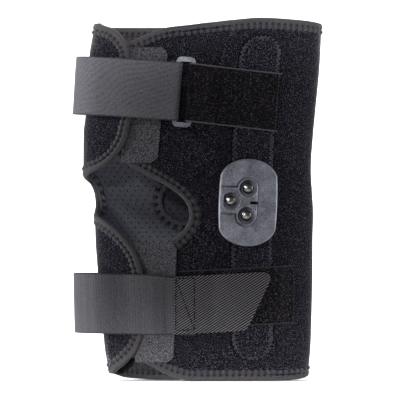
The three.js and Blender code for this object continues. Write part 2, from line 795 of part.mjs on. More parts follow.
// A bar pocket with round ends that follows the wall
function buildPocket(name, side) {
  const rows = 20;
  const columns = 6;
  const sections = [];
  for (let i = 0; i <= rows; i += 1) {
    const w = 0.5 - 0.5 * Math.cos(Math.PI * (pocket.endTrim + (1 - 2 * pocket.endTrim) * (i / rows)));
    const z = pocket.bottom + (pocket.top - pocket.bottom) * w;
    const toEnd = clamp(Math.min(z - pocket.bottom, pocket.top - z) / pocket.halfWidth, 0, 1);
    const half = pocket.halfWidth * Math.sqrt(1 - (1 - toEnd) ** 2);
    const middle = along(pocketLine, "z", "x", z);
    const chain = (lift, inset) => Array.from({ length: columns + 1 }, (_, k) => {
      return wallPoint(turnAt(middle + (half - inset) * ((2 * k) / columns - 1), z, side), z, lift);
    });
    const bevel = Math.min(pocket.bevel, half / 3);
    sections.push([...chain(gap + pocket.thickness, bevel), ...chain(gap, 0).reverse()]);
  }
  addPiece(brace, name, loft(sections), neopreneColour);
}

// Moulded cover with straight sides and elliptical ends, and three recesses for the rivet domes
function buildHinge(sideName, side) {
  const lift = gap + pocket.thickness + cover.gap;
  const frame = wallFrame(cover.x, cover.z, side, lift, coverTilt);
  const halfWidth = cover.halfWidth - cover.bevel;
  const straight = cover.halfHeight - cover.endHeight;
  const endHeight = cover.endHeight - cover.bevel;
  const outline = new THREE.Shape();
  outline.moveTo(halfWidth, -straight);
  outline.lineTo(halfWidth, straight);
  outline.absellipse(0, straight, halfWidth, endHeight, 0, Math.PI);
  outline.lineTo(-halfWidth, -straight);
  outline.absellipse(0, -straight, halfWidth, endHeight, Math.PI, 2 * Math.PI);
  const plate = new THREE.ExtrudeGeometry(outline, {
    depth: cover.thickness - 2 * cover.bevel,
    bevelThickness: cover.bevel,
    bevelSize: cover.bevel,
    bevelSegments: 2,
    curveSegments: 10,
  });
  plate.translate(0, 0, cover.bevel);
  let body = toSolid(plate);
  const floor = cover.thickness - domeRecess.depth;
  const mirror = -side;
  for (const { x, z } of domeTable) {
    const recess = new THREE.CylinderGeometry(domeRecess.radius, domeRecess.radius, cover.thickness, 16);
    recess.rotateX(Math.PI / 2);
    recess.translate(mirror * x, z, floor + cover.thickness / 2);
    body = body.subtract(toSolid(recess));
  }
  const slot = new THREE.BoxGeometry(indicatorSlot.width, indicatorSlot.height, cover.thickness);
  slot.translate(mirror * indicatorSlot.x, indicatorSlot.z, floor + cover.thickness / 2);
  body = body.subtract(toSolid(slot));
  addPiece(frame, `${sideName}_hinge_cover`, toGeometry(body), plasticColour, plasticRoughness);
  const domeSteps = 3;
  const domeSides = 14;
  const profile = [new THREE.Vector2(0, 0), new THREE.Vector2(domeRadius, 0)];
  for (let i = 0; i <= domeSteps; i += 1) {
    const angle = (Math.PI / 2) * (i / domeSteps);
    const rise = domeFoot + (domeRise - domeFoot) * Math.sin(angle);
    profile.push(new THREE.Vector2(domeRadius * Math.cos(angle), rise));
  }
  profile.at(-1).x = 0;
  for (const { name, x, z } of domeTable) {
    const turned = new THREE.LatheGeometry(profile, domeSides);
    const dome = addPiece(frame, `${sideName}_${name}`, turned, steelColour, 0.2, 1);
    dome.rotation.x = Math.PI / 2;
    dome.position.set(mirror * x, z, floor + gap);
  }
}

buildWrap();
buildEdgeTapes();
buildBackOpening();
buildHookTabs();
buildUpperStrap();
buildBuckle();
buildLowerStrap();
buildLanding();
buildPocket("lateral_hinge_pocket", -1);
buildPocket("medial_hinge_pocket", 1);
buildHinge("lateral", -1);
buildHinge("medial", 1);

// The origin is under the middle of the brace's box
brace.updateMatrixWorld(true);
const box = new THREE.Box3().setFromObject(brace);
const centre = box.getCenter(new THREE.Vector3());
brace.position.set(-centre.x, -centre.y, -box.min.z);

export default brace;
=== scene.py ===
import bpy
import numpy as np
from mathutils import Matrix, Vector


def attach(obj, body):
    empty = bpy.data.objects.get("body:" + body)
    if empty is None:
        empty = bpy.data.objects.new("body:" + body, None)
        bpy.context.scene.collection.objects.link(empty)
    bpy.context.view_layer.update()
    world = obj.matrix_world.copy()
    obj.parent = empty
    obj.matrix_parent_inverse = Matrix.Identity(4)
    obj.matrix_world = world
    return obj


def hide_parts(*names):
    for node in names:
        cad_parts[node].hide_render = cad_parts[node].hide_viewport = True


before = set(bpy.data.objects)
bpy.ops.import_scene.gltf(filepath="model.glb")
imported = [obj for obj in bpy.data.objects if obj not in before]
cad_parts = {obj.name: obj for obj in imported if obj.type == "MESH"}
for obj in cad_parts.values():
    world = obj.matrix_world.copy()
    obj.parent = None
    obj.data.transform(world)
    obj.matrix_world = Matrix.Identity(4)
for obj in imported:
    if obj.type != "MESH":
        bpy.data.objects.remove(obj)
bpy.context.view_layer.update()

mm = 0.001
rowShift = -0.376  # the part is centred on its own box, which moves it this far along X

# the sleeve's form, in millimetres, the same as the part's own
sleeve = dict(height=329, wall=3.5, squareness=2.4, depthLow=34, depthHigh=38,
              foldLift=3.2, flapLift=7.8, flapFrom=155, flapTo=210)
foldLeft = [(0, -78), (25, -82.3), (41, -84.1), (101, -89.5), (127, -91.4), (152, -92.3), (162, -96.5),
            (173, -100.4), (191, -102.5), (224, -102.3), (241, -100.4), (295, -96.8), (330, -92)]
foldRight = [(0, 100.6), (25, 102.7), (41, 103.6), (101, 105), (127, 105.1), (152, 105.7), (162, 105.2),
             (173, 104.5), (191, 103.6), (224, 105.6), (241, 107.2), (295, 112), (330, 113.2)]
topRim = [(-150, 294), (-134, 303.4), (-128, 307), (-115, 315.2), (-108, 318.7), (-97, 321.1), (-83, 325.2),
          (-67, 327.5), (-46, 326.1), (0, 322.5), (60, 321), (150, 319.8), (180, 322.5), (230, 323)]
bottomRim = [(-150, 28.4), (-130, 19.3), (-122, 13.8), (-112, 6.6), (-104, 2.9), (-98, 1.1), (-58, 1.1),
             (-26, 2.5), (0, 4.8), (35, 2.6), (60, 1.1), (120, 1.1), (150, 2.9), (180, 7), (230, 7.5)]
flapTurn = [(0, 16), (8, 21), (15.5, 35), (28, 48), (40, 53), (60, 56), (90, 57), (110, 54.5), (123, 49.5),
            (134.5, 41), (144.5, 26.5), (152.5, 2), (160, -11.5), (171, -17), (178, -13.5), (184, 2),
            (189, 22), (195.5, 38), (207, 48.5), (222, 54), (240, 55.5), (270, 55), (299, 51), (311, 44),
            (318, 35), (323, 20), (330, 15)]
kneecapCut = dict(margin=22, x=-5.8, z=148, up=73, upPower=2.5, upRound=3.4, down=46.5, downPower=1.75)


# cubic between table rows, each slope the harmonic mean of its two neighbours, so nothing overshoots
def along(table, at):
    rows = np.asarray(table, float)
    xs, ys = rows[:, 0], rows[:, 1]
    steps = np.diff(ys) / np.diff(xs)
    slopes = np.zeros(len(xs))
    product = steps[:-1] * steps[1:]
    same = product > 0
    slopes[1:-1][same] = 2 * product[same] / (steps[:-1] + steps[1:])[same]
    at = np.clip(np.asarray(at, float), xs[0], xs[-1])
    k = np.clip(np.searchsorted(xs, at, side="right"), 1, len(xs) - 1)
    span = xs[k] - xs[k - 1]
    w = (at - xs[k - 1]) / span
    rise = w * w * (3 - 2 * w)
    bend = w * (1 - w) ** 2 * span * slopes[k - 1] + w * w * (w - 1) * span * slopes[k]
    return ys[k - 1] + (ys[k] - ys[k - 1]) * rise + bend


# 0 below low, 1 above high, eased between
def ease(value, low, high):
    w = np.clip((value - low) / (high - low), 0, 1)
    return w * w * (3 - 2 * w)


# middle, half width and half depth of the sleeve's oval at each height
def ovalAt(z):
    left = along(foldLeft, z) + sleeve["foldLift"]
    right = along(foldRight, z)
    depth = sleeve["depthLow"] + (sleeve["depthHigh"] - sleeve["depthLow"]) * z / sleeve["height"]
    return (left + right) / 2, (right - left) / 2, depth


# superellipse point at a turn and height, moved out along its level normal by lift
def wallPoint(turn, z, lift):
    turn, z, lift = np.broadcast_arrays(*(np.asarray(v, float) for v in (turn, z, lift)))
    middle, halfWidth, halfDepth = ovalAt(z)
    c, s = np.cos(turn), np.sin(turn)
    power = 2 / sleeve["squareness"]
    nx = np.sign(c) * np.abs(c) ** (2 - power) / halfWidth
    ny = np.sign(s) * np.abs(s) ** (2 - power) / halfDepth
    size = np.hypot(nx, ny)
    x = middle + halfWidth * np.sign(c) * np.abs(c) ** power + nx / size * lift
    y = halfDepth * np.sign(s) * np.abs(s) ** power + ny / size * lift
    return np.stack([x, y, z], -1)


# turn at which the sleeve passes x, on the near side (-1) or the far side (1)
def turnAt(x, z, side):
    middle, halfWidth, _ = ovalAt(z)
    c = np.clip((x - middle) / halfWidth, -0.999, 0.999)
    return side * np.arccos(np.sign(c) * np.abs(c) ** (sleeve["squareness"] / 2))


# how far out the medial panel lies where it becomes a flap
def flapLift(turn):
    return sleeve["flapLift"] * ease(np.degrees(turn), sleeve["flapFrom"], sleeve["flapTo"])


# near panel's front edge: a line beside the fold, pushed back by the two lobes of the kneecap cut
def frontEdge(z):
    middle, halfWidth, _ = ovalAt(z)
    line = middle - halfWidth + kneecapCut["margin"]
    above = np.clip((z - kneecapCut["z"]) / kneecapCut["up"], 0, 1)
    below = np.clip((kneecapCut["z"] - z) / kneecapCut["down"], 0, 1)
    upper = (1 - above ** kneecapCut["upPower"]) ** kneecapCut["upRound"]
    depth = upper * (1 - below ** kneecapCut["downPower"])
    return turnAt(line + (kneecapCut["x"] - line) * depth, z, -1)


# medial panel's front edge: half a turn plus the flaps' own reach
def flapEdge(z):
    return np.pi + np.radians(along(flapTurn, z))


# a rim's height from its table, by degrees of turn
def rimHeight(table, turn):
    return along(table, np.degrees(turn))


# quads of a grid of point numbers, closed on itself down the rows where loop is set
def gridQuads(ids, loop=False):
    if loop:
        ids = np.concatenate([ids, ids[:1]])
    return np.stack([ids[:-1, :-1], ids[1:, :-1], ids[1:, 1:], ids[:-1, 1:]], -1).reshape(-1, 4)


# unit normals of a grid of points, from the cross product of its two directions
def gridNormals(points, loop=False):
    down = (np.roll(points, -1, 0) - np.roll(points, 1, 0)) if loop else np.gradient(points, axis=0)
    normal = np.cross(down, np.gradient(points, axis=1))
    return normal / np.maximum(np.linalg.norm(normal, axis=-1, keepdims=True), 1e-9)


# quads that join the rims of an upper and a lower grid, whose numbers differ by offset
def rimQuads(ids, offset, loop=False):
    if loop:
        rings = [np.append(ids[:, 0], ids[0, 0]), np.append(ids[:, -1], ids[0, -1])[::-1]]
    else:
        rings = [np.concatenate([ids[:, 0], ids[-1, 1:], ids[-2::-1, -1], ids[0, -2::-1]])]
    return np.concatenate([np.stack([r[1:], r[:-1], r[:-1] + offset, r[1:] + offset], -1) for r in rings])


# a new mesh from points in millimetres, with its UV map in metres and one finish for each face
def addPiece(name, points, faces, uv, finishes, faceFinish=None, sharp=50):
    mesh = bpy.data.meshes.new(name)
    placed = (points.reshape(-1, 3) + (rowShift, 0, 0)) * mm
    mesh.from_pydata(placed.tolist(), [], [list(face) for face in faces])
    corners = np.empty(len(mesh.loops), np.int32)
    mesh.loops.foreach_get("vertex_index", corners)
    layer = mesh.uv_layers.new(name="weave")
    layer.data.foreach_set("uv", (uv.reshape(-1, 2) * mm)[corners].astype(np.float32).ravel())
    for finish in finishes:
        mesh.materials.append(finish)
    if faceFinish is not None:
        mesh.polygons.foreach_set("material_index", faceFinish.astype(np.int32))
    mesh.polygons.foreach_set("use_smooth", np.ones(len(mesh.polygons), bool))
    mesh.set_sharp_from_angle(angle=np.radians(sharp))
    mesh.update()
    piece = bpy.data.objects.new(name, mesh)
    bpy.context.scene.collection.objects.link(piece)
    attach(piece, "root")
    return piece


# a closed slab about a grid of points: both faces stand off along its normal, and a rim joins them
def addSlab(name, middle, above, below, uv, finishes, loop=False, sharp=50, columnFinish=None):
    normal = gridNormals(middle, loop)
    shape = middle.shape[:2]
    upper = middle + normal * np.broadcast_to(above, shape)[..., None]
    lower = middle - normal * np.broadcast_to(below, shape)[..., None]
    ids = np.arange(shape[0] * shape[1]).reshape(shape)
    quads = gridQuads(ids, loop)
    faces = np.concatenate([quads, quads[:, ::-1] + ids.size, rimQuads(ids, ids.size, loop)])
    points = np.concatenate([upper.reshape(-1, 3), lower.reshape(-1, 3)])
    both = np.concatenate([uv.reshape(-1, 2), uv.reshape(-1, 2)])
    faceFinish = None
    if columnFinish is not None:
        faceFinish = np.zeros(len(faces))
        faceFinish[:2 * len(quads)] = np.tile(columnFinish, 2 * len(quads) // len(columnFinish))
    return addPiece(name, points, faces, both, finishes, faceFinish, sharp)


# edges of a slab come down to a rounded lip: 1 inside, a quarter round from thin to 1 over the last stretch
def lip(distance, width, thin=0.25):
    w = 1 - np.clip(distance / width, 0, 1)
    return thin + (1 - thin) * np.sqrt(1 - w * w)


# length along rows of points, from the first one
def runLength(points):
    return np.concatenate([[0], np.cumsum(np.linalg.norm(np.diff(points, axis=0), axis=-1))])


noiseRange = (0.3, 0.7)  # where most of a noise's values lie


# one shading node, its settings by name and its sockets as numbers, colours or links
def addNode(tree, kind, sockets=None, **settings):
    made = tree.nodes.new(kind)
    for key, value in settings.items():
        setattr(made, key, value)
    for key, value in (sockets or {}).items():
        if isinstance(value, bpy.types.NodeSocket):
            tree.links.new(value, made.inputs[key])
        else:
            made.inputs[key].default_value = value
    return made


def calc(tree, operation, *values):
    return addNode(tree, "ShaderNodeMath", dict(enumerate(values)), operation=operation).outputs[0]


def times(tree, first, second):
    return calc(tree, "MULTIPLY", first, second)


def plus(tree, first, second):
    return calc(tree, "ADD", first, second)


# value times factor plus rest
def blend(tree, value, factor, rest):
    return calc(tree, "MULTIPLY_ADD", value, factor, rest)


# value carried from the range low to high onto 0 to 1, eased
def fade(tree, value, low, high):
    sockets = {"Value": value, "From Min": low, "From Max": high}
    return addNode(tree, "ShaderNodeMapRange", sockets, interpolation_type="SMOOTHSTEP").outputs[0]


def grainNoise(tree, place, size, detail=2.0, roughness=0.6):
    sockets = {"Vector": place, "Scale": 1 / (size * mm), "Detail": detail, "Roughness": roughness}
    return addNode(tree, "ShaderNodeTexNoise", sockets).outputs[0]


# sine along a place, at a pitch in millimetres
def sineWave(tree, place, pitch):
    return calc(tree, "SINE", times(tree, place, 2 * np.pi / (pitch * mm)))


# a place from the middle of its cell, in cells: the fraction of place over pitch plus shift, less a half
def cellOffset(tree, place, pitch, shift=0.0):
    return calc(tree, "SUBTRACT", calc(tree, "FRACT", blend(tree, place, 1 / (pitch * mm), shift)), 0.5)


def lengthOf(tree, du, dv):
    return calc(tree, "SQRT", plus(tree, times(tree, du, du), times(tree, dv, dv)))


def mixColours(tree, share, first, second):
    first, second = (c if isinstance(c, bpy.types.NodeSocket) else (*c, 1.0) for c in (first, second))
    return addNode(tree, "ShaderNodeMix", {0: share, 6: first, 7: second}, data_type="RGBA").outputs[2]


def objectPlace(tree):
    return addNode(tree, "ShaderNodeTexCoord").outputs["Object"]


# the piece's own map, along and across in metres
def weavePlace(tree):
    weave = addNode(tree, "ShaderNodeUVMap", uv_map="weave").outputs[0]
    split = addNode(tree, "ShaderNodeSeparateXYZ", {0: weave})
    return split.outputs[0], split.outputs[1]


# painted shade that the shape marks on its points: shadow on the hinge's groove and recesses, dark reflection
# on the domes
def paintedShadeShare(tree):
    return addNode(tree, "ShaderNodeAttribute", attribute_name="groove").outputs["Fac"]


def newFinish(name, look):
    finish = bpy.data.materials.new(name)
    finish.use_nodes = True
    shader = finish.node_tree.nodes["Principled BSDF"]
    shader.inputs["Roughness"].default_value = look["roughness"]
    shader.inputs["Sheen Weight"].default_value = look.get("sheen", 0.0)
    shader.inputs["Sheen Roughness"].default_value = 0.25
    shader.inputs["Specular IOR Level"].default_value = look["specular"]
    shader.inputs["Metallic"].default_value = look.get("metallic", 0.0)
    return finish, finish.node_tree, shader


# a finish's colour, and a bump of depth millimetres from a height of 0 to 1
def paint(tree, shader, colour, height, depth):
    tree.links.new(colour, shader.inputs["Base Color"])
    bump = addNode(tree, "ShaderNodeBump", {"Height": height, "Distance": depth * mm, "Strength": 1.0})
    tree.links.new(bump.outputs[0], shader.inputs["Normal"])


# 1 along both edges of a web: the distance from its middle line, faded between two distances from its edge
def edgeLine(tree, across, look):
    half = look["width"] / 2
    fromMiddle = calc(tree, "ABSOLUTE", calc(tree, "SUBTRACT", across, half * mm))
    return fade(tree, fromMiddle, (half - look["edge"][0]) * mm, (half - look["edge"][1]) * mm)


# loop cloth: fine noise picks single lit loops out of the dark pile, a wide noise makes it patchy, the first
# bumps it; hook cloth adds a regular lattice, the product of two sines, and a strap a line along its edges
def loopFinish(name, look):
    finish, tree, shader = newFinish(name, look)
    place = objectPlace(tree)
    loops = grainNoise(tree, place, look["grain"], 1.0, 0.5)
    raised = loops
    if "lattice" in look:
        u, v = weavePlace(tree)
        lattice = times(tree, sineWave(tree, u, look["lattice"]), sineWave(tree, v, look["lattice"]))
        raised = blend(tree, lattice, look["regular"], loops)
    worn = blend(tree, grainNoise(tree, place, look["patch"]), look["patchy"], 1 - look["patchy"] / 2)
    share = times(tree, fade(tree, raised, *look["lit"]), worn)
    colour = mixColours(tree, share, look["dark"], look["light"])
    if "selvedge" in look:
        u, v = weavePlace(tree)
        colour = mixColours(tree, edgeLine(tree, v, look), colour, look["selvedge"])
    paint(tree, shader, colour, loops, look["bump"])
    return finish


# knit lining: two interleaved rows of pin holes at a pitch along and across, on a fine knit noise
def liningFinish(name, look):
    finish, tree, shader = newFinish(name, look)
    u, v = weavePlace(tree)
    holes = []
    for shift in (0.0, 0.5):
        du = times(tree, cellOffset(tree, u, look["pitch"], shift), look["pitch"])
        dv = times(tree, cellOffset(tree, v, 2 * look["row"], shift), 2 * look["row"])
        holes.append(fade(tree, lengthOf(tree, du, dv), *look["hole"]))
    clear = calc(tree, "MINIMUM", *holes)
    knit = grainNoise(tree, objectPlace(tree), look["grain"])
    cloth = mixColours(tree, fade(tree, knit, *noiseRange), look["dark"], look["light"])
    height = blend(tree, knit, look["knit"], clear)
    paint(tree, shader, mixColours(tree, clear, look["pin"], cloth), height, look["bump"])
    return finish


# binding tape: knit noise, a row of needle pits at one depth, and beyond it a darker furrow at each pit,
# painted shade between the stitch ridges
def tapeFinish(name, look):
    finish, tree, shader = newFinish(name, look)
    u, v = weavePlace(tree)
    turn = cellOffset(tree, u, look["stitch"])
    du = times(tree, turn, look["stitch"])
    dv = times(tree, calc(tree, "SUBTRACT", v, look["pitAt"] * mm), 1 / mm)
    clear = fade(tree, lengthOf(tree, du, dv), *look["pit"])
    sewn = fade(tree, v, *((look["pitAt"] + past) * mm for past in look["sewn"]))
    furrowShade = times(tree, sewn, fade(tree, calc(tree, "ABSOLUTE", turn), *look["furrowShadeSpan"]))
    raised = times(tree, clear, blend(tree, furrowShade, -look["furrowShade"], 1.0))
    knit = grainNoise(tree, objectPlace(tree), look["grain"])
    cloth = mixColours(tree, fade(tree, knit, *noiseRange), look["dark"], look["light"])
    paint(tree, shader, mixColours(tree, raised, look["pin"], cloth), knit, look["bump"])
    return finish


# woven web: sine ridges at the thread pitch and heather noise; the rows drift in and out of step as a slow
# slanted wave (shine), or stand as upright ribs with bands of tone along the web (rib)
def webFinish(name, look):
    finish, tree, shader = newFinish(name, look)
    u, v = weavePlace(tree)
    place = objectPlace(tree)
    crossing = times(tree, sineWave(tree, v, look["warp"]), sineWave(tree, u, look["weft"]))
    threads = blend(tree, crossing, 0.5, 0.5)
    heather = grainNoise(tree, place, look["grain"])
    flecks = times(tree, fade(tree, heather, *noiseRange), look["heather"])
    yarn = blend(tree, threads, look["thread"], flecks)
    if "shine" in look:
        drift = blend(tree, grainNoise(tree, place, look["drift"], 1.0), look["sway"] * mm, v)
        slant = plus(tree, times(tree, u, look["slant"]), drift)
        tone = times(tree, sineWave(tree, slant, look["shimmer"]), look["shine"])
    else:
        level = addNode(tree, "ShaderNodeCombineXYZ", {0: u}).outputs[0]
        bands = blend(tree, grainNoise(tree, level, look["band"], 1.0), look["banded"], -look["banded"] / 2)
        tone = blend(tree, sineWave(tree, u, look["ribPitch"]), look["rib"], bands)
    share = plus(tree, plus(tree, yarn, tone), look["base"])
    share = blend(tree, edgeLine(tree, v, look), -look["edgeShade"], share)
    colour = mixColours(tree, share, look["dark"], look["light"])
    paint(tree, shader, colour, plus(tree, threads, heather), look["bump"])
    return finish


# moulded ribs: the same slanted wave as the shape lightens the crowns and darkens the hollows, painted light
# and shade, broken by a cross wave that leans the other way
def ribFinish(name, look):
    finish, tree, shader = newFinish(name, look)
    u, v = weavePlace(tree)
    slant = np.radians(look["slant"])
    rise = times(tree, v, np.cos(slant))
    ridge = sineWave(tree, plus(tree, times(tree, u, -np.sin(slant)), rise), look["pitch"])
    cross = sineWave(tree, plus(tree, times(tree, u, np.sin(slant)), rise), look["crossPitch"])
    crown = fade(tree, blend(tree, cross, look["cross"], ridge), *look["crown"])
    noise = grainNoise(tree, objectPlace(tree), look["grain"])
    colour = mixColours(tree, crown, look["dark"], look["light"])
    colour = mixColours(tree, fade(tree, noise, *look["wear"]), colour, look["worn"])
    paint(tree, shader, colour, noise, look["bump"])
    return finish


plasticTone = dict(size=14.0, between=(0.25, 0.75), fine=0.55, wide=0.45)


# moulded plastic: spark-eroded grain bump with slight tone change, and painted shade along the groove and
# recess walls where the shape marks it
def plasticFinish(name, look):
    finish, tree, shader = newFinish(name, look)
    place = objectPlace(tree)
    grain = grainNoise(tree, place, look["grain"])
    tone = fade(tree, grainNoise(tree, place, plasticTone["size"]), *plasticTone["between"])
    fine = times(tree, fade(tree, grain, *noiseRange), plasticTone["fine"])
    share = plus(tree, fine, times(tree, tone, plasticTone["wide"]))
    colour = mixColours(tree, share, look["dark"], look["light"])
    if "groove" in look:
        colour = mixColours(tree, paintedShadeShare(tree), colour, look["groove"])
    paint(tree, shader, colour, grain, look["bump"])
    return finish


# polished steel: a faint smear in the roughness over a grey metal darkened away from a painted highlight, a
# painted dark reflection toward its foot
def steelFinish(name, look):
    finish, tree, shader = newFinish(name, look)
    smear = grainNoise(tree, objectPlace(tree), look["smear"], 3.0)
    colour = mixColours(tree, fade(tree, smear, *look["smearBetween"]), look["dark"], look["light"])
    tree.links.new(mixColours(tree, paintedShadeShare(tree), colour, look["groove"]), shader.inputs["Base Color"])
    tree.links.new(blend(tree, smear, look["smeared"], look["roughness"]), shader.inputs["Roughness"])
    return finish


sleeveLook = dict(dark=(0.0021, 0.002, 0.0032), light=(0.06, 0.056, 0.074), grain=0.85, lit=(0.5, 0.85),
                  patch=18.0, patchy=0.4, roughness=0.95, specular=0.03, sheen=0.25, bump=0.7)
loopStrapLook = dict(dark=(0.0017, 0.0014, 0.0019), light=(0.05, 0.0448, 0.0525), grain=0.9, lit=(0.52, 0.85),
                     patch=14.0, patchy=0.5, roughness=0.95, specular=0.03, sheen=0.015, bump=0.6,
                     selvedge=(0.035, 0.033, 0.036), width=53.0, edge=(1.5, 0.9))
landingLook = dict(loopStrapLook, light=(0.066, 0.06, 0.072), selvedge=(0.016, 0.0148, 0.017), width=52.5)
# the pockets' cloth is the sleeve's made lighter: painted light on their raised tops
litPocketLook = dict(sleeveLook, light=(0.076, 0.071, 0.096))
# plain dark cloth for the inner face along the rims: no pin holes, and its darkness painted shade over the
# lining
plainRimShadeLook = dict(sleeveLook, dark=(0.008, 0.0073, 0.0084), light=(0.03, 0.0277, 0.0313), lit=(0.3, 0.7),
               sheen=0.1, bump=0.3)
hookLook = dict(dark=(0.0115, 0.0111, 0.013), light=(0.056, 0.0543, 0.0613), grain=1.1, lit=(0.34, 0.7),
                patch=9.0, patchy=0.3, roughness=0.8, specular=0.03, sheen=0.05, bump=0.5, lattice=2.6,
                regular=0.12)
liningLook = dict(dark=(0.056, 0.057, 0.072), light=(0.112, 0.1145, 0.143), pin=(0.002, 0.002, 0.003),
                  pitch=7.2, row=4.2, hole=(0.56, 0.805), grain=0.9, knit=0.35, roughness=0.85, specular=0.25,
                  sheen=0.12, bump=0.5)
# the back cover's knit is the lining made darker: painted shade inside the sleeve
shadedCoverLook = dict(liningLook, dark=(0.034, 0.0346, 0.0437), light=(0.068, 0.0695, 0.0868))
# the furrow colour is painted shade between the tape's stitch ridges
tapeLook = dict(dark=(0.008, 0.0073, 0.0084), light=(0.03, 0.0277, 0.0313), pin=(0.002, 0.002, 0.002),
                stitch=5.7, pitAt=4.3, pit=(0.78, 1.95), sewn=(0.2, 1.2), furrowShade=0.55,
                furrowShadeSpan=(0.42, 0.12), grain=0.7, roughness=0.8, specular=0.12, sheen=0.12, bump=0.3)
# the tape made lighter for its inward legs: painted light where they lie in shade
litFacingLook = dict(tapeLook, dark=(0.04, 0.0405, 0.049), light=(0.12, 0.121, 0.146), pit=(0.6, 1.5),
                  furrowShade=0.6)
weaveLook = dict(dark=(0.002, 0.002, 0.0024), warp=0.95, weft=1.25, grain=0.8, heather=0.4, thread=0.3,
                 base=0.1, bump=0.06, edge=(1.4, 0.7), edgeShade=0.3, roughness=0.75, specular=0.12,
                 sheen=0.1)
webLook = dict(weaveLook, light=(0.077, 0.0757, 0.089), drift=60.0, sway=30.0, slant=-0.45, shimmer=4.6,
               shine=0.05, width=53.0)
ribWebLook = dict(weaveLook, light=(0.058, 0.0563, 0.065), band=9.0, banded=0.3, ribPitch=2.7, rib=0.05,
                  width=54.6)
# dark and light here are painted shade in the rib hollows and painted light on the rib crowns
ribLook = dict(dark=(0.001, 0.001, 0.0011), light=(0.082, 0.0755, 0.083), worn=(0.01, 0.0095, 0.01),
               slant=31.4, pitch=2.0, crossPitch=2.9, cross=0.22, crown=(0.0, 0.8), grain=0.8,
               wear=(0.5, 0.95), roughness=0.6, specular=0.08, bump=0.1)
# groove colour: painted shade on the groove's left side and on the recesses' upper left walls
hingeLook = dict(dark=(0.0148, 0.0158, 0.0198), light=(0.133, 0.1375, 0.166), groove=(0.008, 0.0083, 0.01),
                 grain=1.1, roughness=0.36, specular=0.35, bump=0.12)
slotLook = dict(dark=(0.002, 0.002, 0.002), light=(0.006, 0.006, 0.007), grain=0.9, roughness=0.7,
                specular=0.03, bump=0.05)
# groove colour: painted dark reflection toward each dome's foot, away from its painted highlight
steelLook = dict(dark=(0.31, 0.309, 0.308), light=(0.4, 0.399, 0.4), groove=(0.01, 0.0082, 0.007), smear=3.0,
                 smearBetween=(0.35, 0.7), smeared=0.12, roughness=0.22, specular=0.5, metallic=1.0)
# near black: needle holes, and the painted shadow line round each pocket
needleAndShadowLineLook = dict(dark=(0.0005,) * 3, light=(0.0012,) * 3, grain=0.5, roughness=0.9, specular=0.02, bump=0.1)
threadLook = dict(dark=(0.01, 0.0094, 0.012), light=(0.042, 0.0395, 0.0505), grain=0.5, roughness=0.8,
                  specular=0.05, bump=0.1)

sleeveCloth = loopFinish("loopCloth", sleeveLook)
loopWeb = loopFinish("loopWeb", loopStrapLook)
landingWeb = loopFinish("landingWeb", landingLook)
litPocketCloth = loopFinish("litPocketCloth", litPocketLook)
plainRimShadeCloth = loopFinish("plainRimShadeCloth", plainRimShadeLook)
hookCloth = loopFinish("hookCloth", hookLook)
liningKnit = liningFinish("liningKnit", liningLook)
shadedCoverKnit = liningFinish("shadedCoverKnit", shadedCoverLook)
bindingKnit = tapeFinish("bindingKnit", tapeLook)
litFacingKnit = tapeFinish("litFacingKnit", litFacingLook)
elasticWeb = webFinish("elasticWeb", webLook)
ribbedWeb = webFinish("ribbedWeb", ribWebLook)
ribPlastic = ribFinish("ribPlastic", ribLook)
hingePlastic = plasticFinish("hingePlastic", hingeLook)
slotShade = plasticFinish("slotShade", slotLook)
sewingThread = plasticFinish("sewingThread", threadLook)
darkThreadAndShadowLine = plasticFinish("darkThreadAndShadowLine", needleAndShadowLineLook)
rivetSteel = steelFinish("rivetSteel", steelLook)
print("finishes", len(bpy.data.materials))


# quads that close the edges of a grid with some cells left out, between the upper and the lower face
def maskedRim(ids, keep, offset):
    cells = np.pad(keep, 1)
    level, before = cells[1:-1, 1:], cells[1:-1, :-1]      # cells on either side of an edge down the rows
    a, b = ids[:-1], ids[1:]
    pairs = [(a[level & ~before], b[level & ~before]), (b[before & ~level], a[before & ~level])]
    level, before = cells[1:, 1:-1], cells[:-1, 1:-1]      # and of an edge across them
    a, b = ids[:, :-1], ids[:, 1:]
    pairs += [(b[level & ~before], a[level & ~before]), (a[before & ~level], b[before & ~level])]
    return np.concatenate([np.stack([e, s, s + offset, e + offset], -1) for s, e in pairs])


# height at which a front outline meets a rim, by repeating z = rim(outline(z))
def meetRim(outline, table):
    z = np.array(rimHeight(table, np.pi))
    for settle in range(40):
        z = rimHeight(table, outline(z))
    return float(z)


wrapShape = dict(columns=214, rows=186, rimSpread=6, crowd=55, crowdMost=6, wave=0.45, plainRimShade=17, mapAt=165.0)
backOpening = dict(x=-12.5, z=163, halfWidth=20.5, halfHeight=19.5, ease=3.0)


# turn runs evenly from the near edge to the flap's edge, with rows crowded where those edges swing; height is
# the row's own plus each rim's share to the sixth power
def wrapGrid():
    height = sleeve["height"]
    fine = np.linspace(0, height, 4000)
    swing = np.abs(np.gradient(frontEdge(fine), fine)) + np.abs(np.gradient(flapEdge(fine), fine))
    total = np.cumsum(1 + np.minimum(wrapShape["crowd"] * swing, wrapShape["crowdMost"]))
    flat = np.interp(np.linspace(total[0], total[-1], wrapShape["rows"]), total, fine)[None, :]
    share = np.linspace(0, 1, wrapShape["columns"])[:, None]
    low, high = (1 - flat / height) ** wrapShape["rimSpread"], (flat / height) ** wrapShape["rimSpread"]
    z = np.repeat(flat, wrapShape["columns"], 0)
    for settle in range(16):
        front, flap = frontEdge(z[:1]), flapEdge(z[-1:])
        turn = front + (flap - front) * share
        z = flat + rimHeight(bottomRim, turn) * low + (rimHeight(topRim, turn) - height) * high
    return turn, z


# length round the sleeve at mid height, so that the lining's pattern keeps its scale
def roundLength(turn):
    fine = np.linspace(-np.pi, 1.5 * np.pi, 900)
    return np.interp(turn, fine, runLength(wallPoint(fine, wrapShape["mapAt"], flapLift(fine))))
